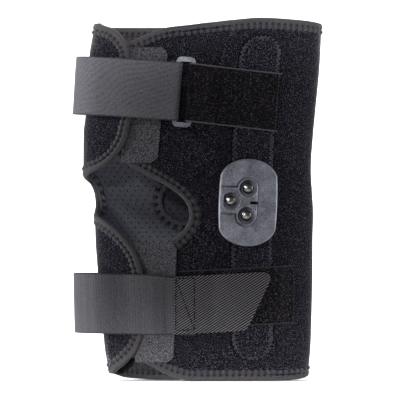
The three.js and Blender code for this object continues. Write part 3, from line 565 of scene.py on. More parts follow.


# outer face on the wall with low waves, sines of turn and height that fade from the folds; inner face the
# wall's thickness in, with a plain strip along both rims, without the lining's holes and darker, its darkness
# painted shade over the lining; the cells inside the far panel's ellipse are left out
def buildWrap():
    turn, z = wrapGrid()
    wave = np.sin(3.1 * turn + z / 31) * np.sin(z / 43 + 1.7 * turn) + 0.6 * np.sin(z / 19 - 2.3 * turn)
    lift = flapLift(turn) + wrapShape["wave"] * wave * ease(np.cos(turn) ** 2, 1.0, 0.6)
    outer, inner = wallPoint(turn, z, lift), wallPoint(turn, z, flapLift(turn) - sleeve["wall"])
    ids = np.arange(turn.size).reshape(turn.shape)
    middle = (outer[:-1, :-1] + outer[1:, 1:]) / 2
    across = (middle[..., 0] - backOpening["x"]) / (backOpening["halfWidth"] + backOpening["ease"])
    up = (middle[..., 2] - backOpening["z"]) / (backOpening["halfHeight"] + backOpening["ease"])
    keep = (middle[..., 1] < 0) | (np.hypot(across, up) > 1)
    quads = gridQuads(ids)[keep.ravel()]
    rim = maskedRim(ids, keep, ids.size)
    faces = np.concatenate([quads, quads[:, ::-1] + ids.size, rim])
    toRim = np.minimum(z - rimHeight(bottomRim, turn), rimHeight(topRim, turn) - z)
    onPlainRimShade = toRim[:-1, :-1].ravel()[keep.ravel()] < wrapShape["plainRimShade"]
    side = np.concatenate([np.zeros(len(quads)), 1 + onPlainRimShade, np.zeros(len(rim))])
    uv = np.stack([roundLength(turn), z], -1).reshape(-1, 2)
    points = np.concatenate([outer.reshape(-1, 3), inner.reshape(-1, 3)])
    finishes = [sleeveCloth, liningKnit, plainRimShadeCloth]
    wrap = addPiece("wrapCloth", points, faces, np.concatenate([uv, uv]), finishes, side)
    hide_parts("neoprene_wrap")


tapeShape = dict(width=8.6, rise=0.4, crown=0.5, roll=1.05, step=0.9, stitch=5.7, ridge=1.0, pitAt=4.3,
                 pit=1.0, groove=0.35, seam=0.6, pitLength=0.9, scallop=0.5, least=-0.3, above=0.1, thick=0.3)


# U section over an edge: depth into the cloth and lift from its outer face, a leg, half an ellipse round the
# edge, a leg
def tapeSection():
    width, rise = tapeShape["width"], tapeShape["rise"]
    leg = width * np.concatenate([np.linspace(1, 0.9, 3), np.linspace(0.82, 0, 13)])
    legLift = rise * ease(width - leg, 0, 1.1)
    nose = np.linspace(0, np.pi, 11)[1:-1]
    half = sleeve["wall"] / 2
    depth = np.concatenate([leg, -tapeShape["roll"] * np.sin(nose), leg[::-1]])
    lift = np.concatenate([legLift, -half + (half + rise) * np.cos(nose), -sleeve["wall"] - legLift[::-1]])
    side = np.concatenate([np.ones(len(leg)), np.zeros(len(nose)), -np.ones(len(leg))])
    return depth, lift, side


# the outer half is a smooth crown; a seam with a needle pit at each stitch draws the inner half into ridges
def stitchRelief(run, depth):
    width, pitAt = tapeShape["width"], tapeShape["pitAt"]
    turn = run / tapeShape["stitch"]
    crown = tapeShape["crown"] * np.sin(np.pi * np.clip(depth / pitAt, 0, 1))
    ridge = tapeShape["ridge"] * (0.5 + 0.5 * np.cos(2 * np.pi * turn)) ** 0.8
    ridge = ridge * ease(depth, pitAt + 0.1, pitAt + 1.6) * (1 - ease(depth, width - 2.2, width))
    off = ((turn % 1) - 0.5) * tapeShape["stitch"]
    seam = np.exp(-((depth - pitAt) / tapeShape["seam"]) ** 2)
    pits = seam * (tapeShape["groove"] + tapeShape["pit"] * np.exp(-(off / tapeShape["pitLength"]) ** 2))
    return np.maximum(crown + ridge - pits, tapeShape["least"])


# the parts of a section whose side is below this take the lighter tape: painted light on the legs that face
# inward
litFacing = dict(none=-2, inner=0, nose=0.5)


# tape along a run: the section's depth swells a little between stitches, place gives the turn and height at
# each depth, and the relief stands out on both legs
def addTape(name, node, run, place, below, loop=False):
    depth, lift, side = tapeSection()
    phase = np.cos(2 * np.pi * run / tapeShape["stitch"])[:, None]
    deep = depth[None] * (1 + tapeShape["scallop"] / tapeShape["width"] * phase * (depth[None] > 0))
    turn, z = place(deep)
    high = lift[None] + side[None] * stitchRelief(run[:, None], depth[None])
    middle = wallPoint(turn, z, flapLift(turn) + high)
    uv = np.stack(np.broadcast_arrays(run[:, None], depth[None]), -1)
    tape = addSlab(name, middle, tapeShape["above"], tapeShape["thick"], uv, [bindingKnit, litFacingKnit],
                   loop, 70, side[1:] < below)
    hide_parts(node)


# tape along an outline of turns and heights, in even steps; depth goes in at a right angle to its heading
def edgeTape(name, node, turn, z, below):
    run = runLength(wallPoint(turn, z, flapLift(turn)))
    even = np.linspace(0, run[-1], int(run[-1] / tapeShape["step"]))
    turn, z = np.interp(even, run, turn), np.interp(even, run, z)
    small = 0.01
    stretch = np.linalg.norm(wallPoint(turn + small, z, flapLift(turn + small))
                             - wallPoint(turn - small, z, flapLift(turn - small)), axis=-1) / (2 * small)
    heading = np.stack([np.gradient(turn) * stretch, np.gradient(z)], -1)
    heading /= np.linalg.norm(heading, axis=-1, keepdims=True)
    place = lambda deep: (turn[:, None] + heading[:, 1:] * deep / stretch[:, None],
                          z[:, None] - heading[:, :1] * deep)
    addTape(name, node, even, place, below)


def buildTapes():
    frontLow, frontHigh = meetRim(frontEdge, bottomRim), meetRim(frontEdge, topRim)
    flapLow, flapHigh = meetRim(flapEdge, bottomRim), meetRim(flapEdge, topRim)
    up = np.linspace(frontLow, frontHigh, 3000)
    edgeTape("lateralBinding", "binding_lateral", frontEdge(up), up, litFacing["inner"])
    down = np.linspace(flapHigh, flapLow, 3000)
    edgeTape("medialBinding", "binding_medial", flapEdge(down), down, litFacing["inner"])
    over = np.linspace(frontEdge(frontHigh), flapEdge(flapHigh), 3000)
    edgeTape("topBinding", "binding_top", over, rimHeight(topRim, over), litFacing["none"])
    under = np.linspace(flapEdge(flapLow), frontEdge(frontLow), 3000)
    edgeTape("bottomBinding", "binding_bottom", under, rimHeight(bottomRim, under), litFacing["none"])


# the same section carried round the ellipse of the far panel's hole, its nose in the lighter tape too
def buildBackTape():
    length = np.pi * (backOpening["halfWidth"] + backOpening["halfHeight"])
    count = round(length / tapeShape["stitch"])
    angle = -np.linspace(0, 2 * np.pi, count * 8, endpoint=False)
    run = -angle / (2 * np.pi) * count * tapeShape["stitch"]

    def place(deep):
        x = backOpening["x"] + (backOpening["halfWidth"] + deep) * np.cos(angle)[:, None]
        z = backOpening["z"] + (backOpening["halfHeight"] + deep) * np.sin(angle)[:, None]
        return turnAt(x, z, 1), z

    addTape("backBinding", "binding_back_opening", run, place, litFacing["nose"], True)


coverShape = dict(halfWidth=34, halfHeight=33, thick=1.2, rise=1.4, gap=0.35, riseFrom=0.97, riseTo=0.84,
                  steps=61)


# a disc of lining over the hole from outside: each row as wide as the circle, raised all over but at its rim
def buildBackCover():
    steps = coverShape["steps"]
    up = np.sin(np.pi / 2 * np.linspace(-1, 1, steps) * coverShape["riseFrom"])[None]
    across = np.sqrt(1 - up * up) * np.linspace(1, -1, steps)[:, None]
    raised = 1 - ease(np.hypot(across, up), coverShape["riseTo"], coverShape["riseFrom"])
    x = backOpening["x"] + coverShape["halfWidth"] * across
    z = backOpening["z"] + coverShape["halfHeight"] * up + 0 * x
    half = coverShape["thick"] / 2
    middle = wallPoint(turnAt(x, z, 1), z, coverShape["gap"] + coverShape["rise"] * raised + half)
    cover = addSlab("backCover", middle, half, half, np.stack([x, z], -1), [shadedCoverKnit])
    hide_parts("back_cover")


buildWrap()
buildTapes()
buildBackTape()
buildBackCover()
print("cloth and bindings")


pocketShape = dict(bottom=18.5, top=313, halfWidth=19, thick=3.0, gap=0.3, margin=4, slope=12, endTrim=0.004,
                   rows=170, columns=41, shoulder=5.0, rim=0.35, groove=0.9, grooveAt=2.6, grooveWidth=1.3,
                   base=0.2, below=0.1)
pocketMiddle = [(0, 50), (110, 49), (200, 49.8), (277, 55), (330, 60)]


# what the hinge pocket adds under a strap: its thickness over the pocket, eased off beside it
def pocketRise(x, z):
    off = np.abs(x - along(pocketMiddle, z)) - pocketShape["halfWidth"] - pocketShape["margin"]
    return (pocketShape["thick"] + pocketShape["gap"]) * (1 - ease(off, 0, pocketShape["slope"]))


# height of a pocket's top at a distance in from its edge: a quarter-round shoulder less a sewn groove
def pocketTop(edge):
    shoulder = 1 - np.clip(edge / pocketShape["shoulder"], 0, 1)
    top = pocketShape["rim"] + (pocketShape["thick"] - pocketShape["rim"]) * np.sqrt(1 - shoulder ** 2)
    fromGroove = (edge - pocketShape["grooveAt"]) / pocketShape["grooveWidth"]
    return top - pocketShape["groove"] * np.exp(-fromGroove ** 2)


# a pocket with round ends on the wall: half circles narrow its end rows, and its top rises from the edge
def buildPocket(name, node, side):
    trim, bottom, top, full = (pocketShape[key] for key in ("endTrim", "bottom", "top", "halfWidth"))
    w = 0.5 - 0.5 * np.cos(np.pi * np.linspace(trim, 1 - trim, pocketShape["rows"]))
    z = (bottom + (top - bottom) * w)[None]
    toEnd = np.clip(np.minimum(z - bottom, top - z) / full, 0, 1)
    half = full * np.sqrt(1 - (1 - toEnd) ** 2)
    spread = np.sin(np.pi / 2 * np.linspace(-1, 1, pocketShape["columns"]))[:, None]
    x = along(pocketMiddle, z) - side * half * spread
    z = z + 0 * x
    rise = pocketTop(np.minimum(half * (1 - np.abs(spread)), full * toEnd))
    middle = wallPoint(turnAt(x, z, side), z, pocketShape["base"])
    pocket = addSlab(name, middle, rise, pocketShape["below"], np.stack([x, z], -1), [litPocketCloth],
                     sharp=70)
    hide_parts(node)


# thread along rows of points: four corners about each point, on its normal and the level across it
def threadTube(points, outward, radius):
    ahead = np.gradient(points, axis=0)
    ahead /= np.linalg.norm(ahead, axis=-1, keepdims=True)
    level = np.cross(ahead, outward)
    level /= np.linalg.norm(level, axis=-1, keepdims=True)
    lifted = np.cross(level, ahead)
    angle = np.linspace(0, 2 * np.pi, 4, endpoint=False)
    ring = np.cos(angle)[None, :, None] * level[:, None] + np.sin(angle)[None, :, None] * lifted[:, None]
    return points[:, None] + radius * ring


# a tube's quads between its rings, and one quad over each end
def tubeFaces(count, start):
    ids = start + np.arange(count * 4).reshape(count, 4)
    closed = np.concatenate([ids, ids[:, :1]], 1)
    return np.concatenate([gridQuads(closed), ids[:1], ids[-1:, ::-1]])


# one piece of several tubes, each along its own path
def addThread(name, runs, radius, finish):
    points, faces, start = [], [], 0
    for path, outward in runs:
        points.append(threadTube(path, outward, radius).reshape(-1, 3))
        faces.append(tubeFaces(len(path), start))
        start += len(points[-1])
    everything = np.concatenate(points)
    addPiece(name, everything, np.concatenate(faces), everything[:, [0, 2]], [finish], sharp=180)


# places on the wall at a lift, and the way out of it there
def onWall(x, z, side, lift):
    turn = turnAt(x, z, side)
    return wallPoint(turn, z, lift), wallPoint(turn, z, 1.0) - wallPoint(turn, z, 0.0)


zigzagShape = dict(pitch=4.2, inner=0.9, outer=4.4, edge=0.1, radius=0.62, shadowLineRadius=0.7, lift=0.15)


# seam round a pocket, up its right side, round the top, down the left and round the bottom: the distance in
# from its edge swings between two limits along the outline
def pocketSeam(side, inner, outer):
    half, bottom, top = (pocketShape[key] for key in ("halfWidth", "bottom", "top"))
    straight, arc = top - bottom - 2 * half, np.pi * half
    run = np.arange(0, 2 * straight + 2 * arc, zigzagShape["pitch"] / 4)
    inset = inner + (outer - inner) * np.abs(((run / zigzagShape["pitch"]) % 1) * 2 - 1)
    onRight, onTop = run < straight, (run >= straight) & (run < straight + arc)
    onLeft = (run >= straight + arc) & (run < 2 * straight + arc)
    bend = np.where(onTop, (run - straight) / half, np.pi + (run - 2 * straight - arc) / half)
    reach = half - inset
    across = np.where(onRight, reach, np.where(onLeft, -reach, reach * np.cos(bend)))
    sideHigh = np.where(onRight, bottom + half + run, top - half - (run - straight - arc))
    endHigh = np.where(onTop, top - half, bottom + half) + reach * np.sin(bend)
    z = np.where(onRight | onLeft, sideHigh, endHigh)
    return onWall(along(pocketMiddle, z) + across, z, side, pocketTop(inset) + zigzagShape["lift"])


def buildSeams():
    for name, side in (("lateralPocketSeam", -1), ("medialPocketSeam", 1)):
        zigzag = pocketSeam(side, zigzagShape["inner"], zigzagShape["outer"])
        # a near-black tube round each pocket's outline: a painted shadow along its edge
        edge = pocketSeam(side, zigzagShape["edge"], zigzagShape["edge"])
        addThread(name, [zigzag], zigzagShape["radius"], sewingThread)
        addThread(name + "Edge", [edge], zigzagShape["shadowLineRadius"], darkThreadAndShadowLine)


tabShape = dict(lift=1.4, thick=1.2, corner=8.0, rows=81, columns=45, wave=0.25, lip=0.9)
tabs = [dict(name="upperHookTab", node="upper_hook_tab", left=-68, bottom=197.2, top=301.5, rightLow=-35.8,
             rightHigh=-26),
        dict(name="lowerHookTab", node="lower_hook_tab", left=-55, bottom=17, top=125.5, rightLow=-21,
             rightHigh=-18)]


# a patch on the near wall: rows from its left end to a slanted right side, drawn in at the corners by a
# quarter round, with a low wave in its lift
def buildTabs():
    for tab in tabs:
        left, bottom, top = tab["left"], tab["bottom"], tab["top"]
        w = (0.5 - 0.5 * np.cos(np.pi * np.linspace(0, 1, tabShape["rows"])))[None]
        z = bottom + (top - bottom) * w
        toEnd = np.minimum(np.minimum(z - bottom, top - z), tabShape["corner"]) / tabShape["corner"]
        inset = tabShape["corner"] * (1 - np.sqrt(1 - (1 - toEnd) ** 2))
        right = tab["rightLow"] + (tab["rightHigh"] - tab["rightLow"]) * w - inset
        x = left + (right - left) * np.sin(np.pi / 2 * np.linspace(0, 1, tabShape["columns"]))[:, None]
        z = z + 0 * x
        edge = np.minimum(np.minimum(z - bottom, top - z), right - x)
        half = tabShape["thick"] / 2
        lift = tabShape["lift"] + half + tabShape["wave"] * np.sin(x / 9 + z / 13)
        middle = wallPoint(turnAt(x, z, -1), z, lift)
        half = half * lip(edge, tabShape["lip"])
        piece = addSlab(tab["name"], middle, half, half, np.stack([x, z], -1), [hookCloth])
        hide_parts(tab["node"])


strapShape = dict(width=53.0, thick=1.6, along=190, across=37, lip=0.9, endLip=0.4, sewnGap=0.4, farSide=-60,
                  leanSpan=60, taperFrom=60, taperTo=74)
upperStrap = dict(tilt=np.radians(4.4), x=-11.7, z=261.2, near=69, farEnd=-140, width=53.0, lean=0, taper=0,
                  buckleLift=4.4, barWrap=3.2, barOffset=6.95, dive=13.4, diveRise=6.0, divePower=1.35,
                  tailRise=7.5, tailLift=3.7, tailEnd=-48)
upperLift = [(-140, 1.3), (-80, 1.6), (-50, 4.5), (-20, 11.2), (0, 15.4), (25, 13), (45, 10.8), (66, 10.4),
             (90, 10.4)]
lowerStrap = dict(tilt=np.radians(2), x=-20.5, z=68.3, near=85, farEnd=-140, width=54.6, lean=1.8,
                  taper=0.045)
lowerLift = [(-140, 1.3), (-90, 1.6), (-60, 7), (-25, 22), (0, 27.5), (25, 21.5), (46, 11.6), (60, 10.5),
             (73, 4.1), (95, 4.1)]
acrossStrap = strapShape["width"] / 2 * np.sin(np.pi / 2 * np.linspace(-1, 1, strapShape["across"]))[None]


# strap from the far side round the front fold: height falls with its tilt, lift from its own table of turns
# past the fold, with its lower edge standing further out by the lean at the fold and its sewn end drawn in by
# the taper
def loopPath(strap, lifts):
    past = np.linspace(strap["farEnd"], strap["near"], strapShape["along"])[:, None]
    narrow = 1 - strap["taper"] * ease(past, strapShape["taperFrom"], strapShape["taperTo"])
    across = acrossStrap * strap["width"] / strapShape["width"] * narrow
    turn = np.radians(past) - np.pi
    x = wallPoint(turn, strap["z"], 0.0)[..., 0]
    z = strap["z"] - (x - strap["x"]) * np.tan(strap["tilt"]) + across * np.cos(strap["tilt"])
    shear = np.sin(strap["tilt"]) * ease(past, 0, -strapShape["farSide"])
    farRise = np.where(past < strapShape["farSide"], pocketRise(x + 0 * z, z), 0)
    bend = np.cos(np.pi / 2 * np.clip(past / strapShape["leanSpan"], -1, 1)) ** 2
    lean = strap["lean"] * bend * across / (strap["width"] / 2)
    points = wallPoint(turn + 0 * z, z, along(lifts, past) + farRise - lean)
    points[..., 0] += across * shear
    return points


# strap lying on the near side, at distances along its tilted line
def nearPath(strap, distance, lift, droop=0.0):
    c, s = np.cos(strap["tilt"]), np.sin(strap["tilt"])
    x = strap["x"] + distance[:, None] * c + acrossStrap * s
    z = strap["z"] - distance[:, None] * s + acrossStrap * c - np.broadcast_to(droop, distance.shape)[:, None]
    return wallPoint(turnAt(x, z, -1), z, lift[:, None] + 0 * z)


# half a circle round a buckle bar, on its right side (1) or its left side (-1)
def barPath(centre, sign):
    angle = np.linspace(0, np.pi, 17)
    wrap = upperStrap["barWrap"]
    return nearPath(upperStrap, centre + sign * wrap * np.sin(angle),
                    upperStrap["buckleLift"] + wrap * np.cos(angle))


# web about a path of rows, half its thickness to either side, thinner along its edges and ends
def addStrap(name, node, middle, finish, width=strapShape["width"]):
    across = acrossStrap * width / strapShape["width"]
    run = runLength(middle[:, middle.shape[1] // 2])
    toEnd = np.minimum(run, run[-1] - run)[:, None] + strapShape["endLip"]
    edge = np.minimum(width / 2 - np.abs(across), toEnd)
    half = strapShape["thick"] / 2 * lip(edge, strapShape["lip"])
    uv = np.stack(np.broadcast_arrays(run[:, None], across + width / 2), -1)
    strap = addSlab(name, middle, half, half, uv, [finish])
    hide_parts(node)


# elastic strap: along its loop, down a quarter superellipse into the buckle, round the bar and back under
def buildUpperStrap():
    bar, wrap, lift, dive = (upperStrap[key] for key in ("barOffset", "barWrap", "buckleLift", "dive"))
    under = lift - wrap
    bend = np.linspace(0, np.pi / 2, 26)
    fall = upperStrap["diveRise"] * np.sqrt(1 - np.sin(bend) ** upperStrap["divePower"])
    into = nearPath(upperStrap, -bar - dive + (dive + wrap) * np.sin(bend), lift + fall)
    below = np.linspace(0, upperStrap["x"] - bar - upperStrap["tailEnd"], 24)[1:]
    tailLift = under + (upperStrap["tailLift"] - under) * np.clip(below / upperStrap["tailRise"], 0, 1)
    back = nearPath(upperStrap, -bar - below, tailLift)
    middle = np.concatenate([loopPath(upperStrap, upperLift), into, barPath(-bar, 1)[9:], back])
    addStrap("upperStrap", "upper_strap", middle, elasticWeb)


anchorShape = dict(end=73.5, restFrom=30, barApproach=3, underEnd=27, underRest=8, droop=3, stitchIn=2.4,
                   tackX=38.0, tackStep=1.3, tackHalf=1.7, tackReach=0.97, tackPitch=3.4, tackLength=3.2,
                   stitchReach=0.96)


# anchor web: sewn flat over the pocket, rising to the buckle's bar, round it and back under itself
def buildAnchor():
    bar, wrap, lift, start = (upperStrap[key] for key in ("barOffset", "barWrap", "buckleLift", "x"))
    sewn = strapShape["sewnGap"] + strapShape["thick"] / 2
    reach = anchorShape["end"] - start
    droop = lambda at: anchorShape["droop"] * (at - bar) / (reach - bar)
    slack = lambda at, rest: ease(-(start + at), -rest, -(start + bar))
    over = np.linspace(reach, bar + anchorShape["barApproach"], 80)
    rest = sewn + pocketRise(start + over, np.full(80, float(upperStrap["z"])))
    overLift = rest + (lift + wrap - rest) * slack(over, anchorShape["restFrom"])
    back = np.linspace(bar, anchorShape["underEnd"] - start, 24)[1:]
    backLift = sewn + (lift - wrap - sewn) * slack(back, anchorShape["underRest"])
    middle = np.concatenate([nearPath(upperStrap, over, overLift, droop(over)), barPath(bar, -1),
                             nearPath(upperStrap, back, backLift, droop(back))])
    addStrap("upperStrapAnchor", "upper_strap_anchor", middle[:, ::-1], loopWeb)


def buildLowerStrap():
    middle = loopPath(lowerStrap, lowerLift)
    addStrap("lowerStrap", "lower_strap", middle, ribbedWeb, lowerStrap["width"])


dashShape = dict(pitch=3.1, length=2.0, radius=0.34, arch=0.25)


# sewn line between two places on the near wall: short arched dashes at an even pitch
def dashRuns(start, end, liftAt, pitch=dashShape["pitch"], length=dashShape["length"]):
    start, end = np.asarray(start, float), np.asarray(end, float)
    size = np.linalg.norm(end - start)
    runs = []
    for at in np.arange(pitch / 2, size, pitch):
        w = (at + length * np.linspace(-0.5, 0.5, 5)) / size
        x, z = (start[None] + (end - start)[None] * w[:, None]).T
        runs.append(onWall(x, z, -1, liftAt(x, z) + dashShape["arch"] * np.array([-1, 0.4, 1, 0.4, -1])))
    return runs


# top face of the anchor web away from its buckle
def anchorLift(x, z):
    return strapShape["sewnGap"] + strapShape["thick"] + pocketRise(x, z)


# line across the anchor's sewn end, and bar tacks where its edges cross the pocket's seam
def buildAnchorStitches():
    drop = np.array([-np.sin(upperStrap["tilt"]), -np.cos(upperStrap["tilt"])]) * strapShape["width"] / 2
    slope = np.tan(upperStrap["tilt"]) + anchorShape["droop"] / (anchorShape["end"] - upperStrap["x"])
    middle = lambda x: np.array([x, upperStrap["z"] - (x - upperStrap["x"]) * slope])
    end = middle(anchorShape["end"] - anchorShape["stitchIn"])
    reach = anchorShape["stitchReach"] * drop
    runs = dashRuns(end - reach, end + reach, anchorLift)
    up = np.array([0, anchorShape["tackHalf"]])
    for side in (-1, 1):
        for step in range(3):
            at = anchorShape["tackX"] + step * anchorShape["tackStep"]
            tack = middle(at) + side * drop * anchorShape["tackReach"]
            runs += dashRuns(tack - up, tack + up, anchorLift, anchorShape["tackPitch"],
                             anchorShape["tackLength"])
    addThread("anchorStitches", runs, dashShape["radius"], sewingThread)


landingShape = dict(left=-16, right=88.4, leftZ=73.5, rightZ=78.5, width=52.5, thick=1.6, steps=(150, 41),
                    lip=0.9)
hookEndShape = dict(left=-20.5, right=68, leftZ=68.2, rightZ=73, width=52, thick=1.4, slant=24,
                    cornerHigh=10.0, cornerLow=5.0, overStrap=-2, onLanding=14, strapGap=0.5, landingGap=1.55,
                    rib=0.32, lip=1.0, steps=(224, 138))


# underside of the landing, a sewn gap above the wall and the pocket
def landingLift(x, z):
    return strapShape["sewnGap"] + pocketRise(x, z)


# landing strip: straight between its two ends, half its thickness to either side, thinner along its edges
def buildLanding():
    left, right, width = (landingShape[key] for key in ("left", "right", "width"))
    w = np.linspace(0, 1, landingShape["steps"][0])[:, None]
    across = width / 2 * np.sin(np.pi / 2 * np.linspace(-1, 1, landingShape["steps"][1]))[None]
    x = left + (right - left) * w + 0 * across
    z = landingShape["leftZ"] + (landingShape["rightZ"] - landingShape["leftZ"]) * w + across
    edge = np.minimum(width / 2 - np.abs(across), np.minimum(x - left, right - x))
    half = landingShape["thick"] / 2
    middle = wallPoint(turnAt(x, z, -1), z, landingLift(x, z) + half)
    uv = np.stack([x - left, across + width / 2 + 0 * x], -1)
    web = addSlab("lowerStrapLanding", middle, half * lip(edge, landingShape["lip"]), half, uv, [landingWeb])
    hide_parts("lower_strap_landing")


# lift of the hook end's middle: on the strap's end, then eased down to the landing
def hookEndLift(x, z):
    rest = landingLift(x, z) + landingShape["thick"] + hookEndShape["landingGap"]
    overStrap = lowerLift[-1][1] + strapShape["thick"] / 2 + hookEndShape["strapGap"]
    slack = 1 - ease(x, hookEndShape["overStrap"], hookEndShape["onLanding"])
    return rest + np.maximum(overStrap - rest, 0) * slack + hookEndShape["thick"] / 2


# hook end: slanted ribs stand on it as a sine, and its free end is slanted with two round corners
def buildHookEnd():
    left, right, width = (hookEndShape[key] for key in ("left", "right", "width"))
    half, thick = width / 2, hookEndShape["thick"] / 2
    w = np.linspace(0, 1, hookEndShape["steps"][0])[:, None]
    across = np.linspace(-half, half, hookEndShape["steps"][1])[None]
    corner = np.where(across > 0, hookEndShape["cornerHigh"], hookEndShape["cornerLow"])
    toEdge = np.clip((half - np.abs(across)) / corner, 0, 1)
    inset = corner * (1 - np.sqrt(1 - (1 - toEdge) ** 2))
    end = right - hookEndShape["slant"] * (0.5 - across / width) - inset
    x = left + (end - left) * w
    climb = hookEndShape["rightZ"] - hookEndShape["leftZ"]
    z = hookEndShape["leftZ"] + climb * (x - left) / (right - left) + across
    middle = wallPoint(turnAt(x, z, -1), z, hookEndLift(x, z))
    edge = np.minimum(half - np.abs(across), np.minimum(x - left, end - x))
    u, v = x - left, across + half + 0 * x
    slant = np.radians(ribLook["slant"])
    wave = np.sin(2 * np.pi * (v * np.cos(slant) - u * np.sin(slant)) / ribLook["pitch"])
    above = thick * lip(edge, hookEndShape["lip"]) + hookEndShape["rib"] * wave * ease(edge, 0.2, 0.9)
    piece = addSlab("lowerStrapHookEnd", middle, above, thick, np.stack([u, v], -1), [ribPlastic],
                    sharp=80)
    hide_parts("lower_strap_hook_end")


stitchBox = dict(left=-18.6, right=-2.2, bottom=45.8, top=92.6, tilt=0.9, rise=1.0, pitch=2.9, length=1.7,
                 radius=0.48)
landingStitch = dict(fromEnd=1.8, low=53.5, high=103.5)


# box of needle holes with one diagonal where the hook end is sewn to the strap, and a sewn line at the
# landing's end
def buildEndStitches():
    left, right, low, high, tilt = (stitchBox[key] for key in ("left", "right", "bottom", "top", "tilt"))
    corners = [(left, low), (right, low + tilt), (right, high + tilt), (left, high)]
    onHook = lambda x, z: hookEndLift(x, z) + stitchBox["rise"]
    runs = []
    for start, end in [*zip(corners, corners[1:] + corners[:1]), (corners[3], corners[1])]:
        runs += dashRuns(start, end, onHook, stitchBox["pitch"], stitchBox["length"])
    addThread("hookEndStitches", runs, stitchBox["radius"], darkThreadAndShadowLine)
    x = landingShape["right"] - landingStitch["fromEnd"]
    onLanding = lambda x, z: landingLift(x, z) + landingShape["thick"]
    runs = dashRuns((x, landingStitch["low"]), (x, landingStitch["high"]), onLanding)
    addThread("landingStitches", runs, dashShape["radius"], sewingThread)


buildPocket("lateralPocket", "lateral_hinge_pocket", -1)
buildPocket("medialPocket", "medial_hinge_pocket", 1)
buildSeams()
buildTabs()
buildUpperStrap()
buildAnchor()
buildAnchorStitches()
buildLowerStrap()
buildLanding()
buildHookEnd()
buildEndStitches()
print("pockets, tabs and straps")


hingeShape = dict(x=45.3, z=161.4, tilt=np.radians(2), lift=4.0, halfWidth=26.4, halfHeight=39.4,
                  endHeight=20.5, top=5.65, edge=1.9, base=0.9, recess=7.9, flat=6.3, depth=2.1, slope=1.25,
                  lip=0.4, lipAt=0.5, lipWidth=0.45, shade=(1.7, 3.2), shadeToward=(-0.1, 0.75), rings=100,
                  spokes=420, farRings=64, farSpokes=160)
islandShape = dict(radius=9.7, x=-10.75, halfWidth=19.25, y=1.75, halfHeight=12.25, rise=0.3, groove=1.0,
                   width=0.65)
# brightX and brightY place each dome's painted highlight; the steel darkens away from it as a painted
# reflection
domeShape = dict(radius=4.9, floor=4.5, rise=3.1, foot=0.4, sunk=0.75, sunkReach=0.6, brightX=-0.08,
                 brightY=0.2, paintedHighlightFalloff=(0.25, 0.92), rings=18, spokes=40)
domes = [(-0.7, 12.6), (-16.3, 0.8), (-1.5, -12)]
slotShape = dict(x=5.1, y=-0.3, halfWidth=3.3, halfHeight=1.1, depth=1.3, lineDepth=0.45, lineWidth=0.35,
                 lineHalf=0.05, lineDrop=3.2, tickDrop=2.4, tickHalf=0.8, clear=0.9)


# frame on the wall: across, up and out of it, turned by the cover's tilt
def wallFrame(side):
    reach = 20.0
    place = lambda x, z: wallPoint(turnAt(x, z, side), z, hingeShape["lift"])
    x, z = hingeShape["x"], hingeShape["z"]
    across = place(x - side * reach, z) - place(x + side * reach, z)
    across /= np.linalg.norm(across)
    up = place(x, z + reach) - place(x, z - reach)
    outward = np.cross(across, up)
    outward /= np.linalg.norm(outward)
    up = np.cross(outward, across)
    c, s = np.cos(side * hingeShape["tilt"]), np.sin(side * hingeShape["tilt"])
    return place(x, z), across * c + up * s, up * c - across * s, outward


# places across, up and out of a frame
def onFrame(base, x, y, out):
    origin, across, up, outward = base
    return origin + x[..., None] * across + y[..., None] * up + out[..., None] * outward


# the cover's outline, spoke by spoke: straight sides with elliptical ends
def coverOutline(count):
    straight = hingeShape["halfHeight"] - hingeShape["endHeight"]
    angle = np.linspace(0, 2 * np.pi, count, endpoint=False)
    x = hingeShape["halfWidth"] * np.cos(angle)
    return x, hingeShape["endHeight"] * np.sin(angle) + straight * np.clip(np.sin(angle) / 0.25, -1, 1)


# signed distance to an upright box, below zero inside it
def boxAway(x, y, middleX, middleY, halfWidth, halfHeight):
    return np.maximum(np.abs(x - middleX) - halfWidth, np.abs(y - middleY) - halfHeight)


# signed distance to the indicator slot
def slotAway(x, y):
    return boxAway(x, y, *(slotShape[key] for key in ("x", "y", "halfWidth", "halfHeight")))


# signed distance to the island's outline: two discs round the outer domes joined to a band that runs out to
# the left
def islandAway(x, y):
    discs = [np.hypot(x - domes[k][0], y - domes[k][1]) - islandShape["radius"] for k in (0, 2)]
    band = boxAway(x, y, *(islandShape[key] for key in ("x", "y", "halfWidth", "halfHeight")))
    return np.minimum(np.minimum(*discs), band)


# signed distance to each recess's rim, below zero inside it; the left one is cut straight on its outer side
def recessAway(x, y):
    away = np.stack([np.hypot(x - dx, y - dy) - hingeShape["recess"] for dx, dy in domes])
    away[1] = np.maximum(away[1], 2 * (domes[1][0] - hingeShape["flat"] - x))
    return away


# shade along a recess's wall: a band inside its rim, times how far it lies to the upper left of the dome
def recessShade(x, y):
    inside = -recessAway(x, y)
    toward = np.stack([(y - dy - x + dx) / (np.hypot(x - dx, y - dy) + 0.1) for dx, dy in domes]) / np.sqrt(2)
    band = ease(inside, -0.2, 0.3) * (1 - ease(inside, *hingeShape["shade"]))
    return np.max(band * ease(toward, *hingeShape["shadeToward"]), 0)


# 1 along the island's outline, a bell curve of the distance to it
def grooveLine(x, y):
    return np.exp(-(islandAway(x, y) / islandShape["width"]) ** 2)


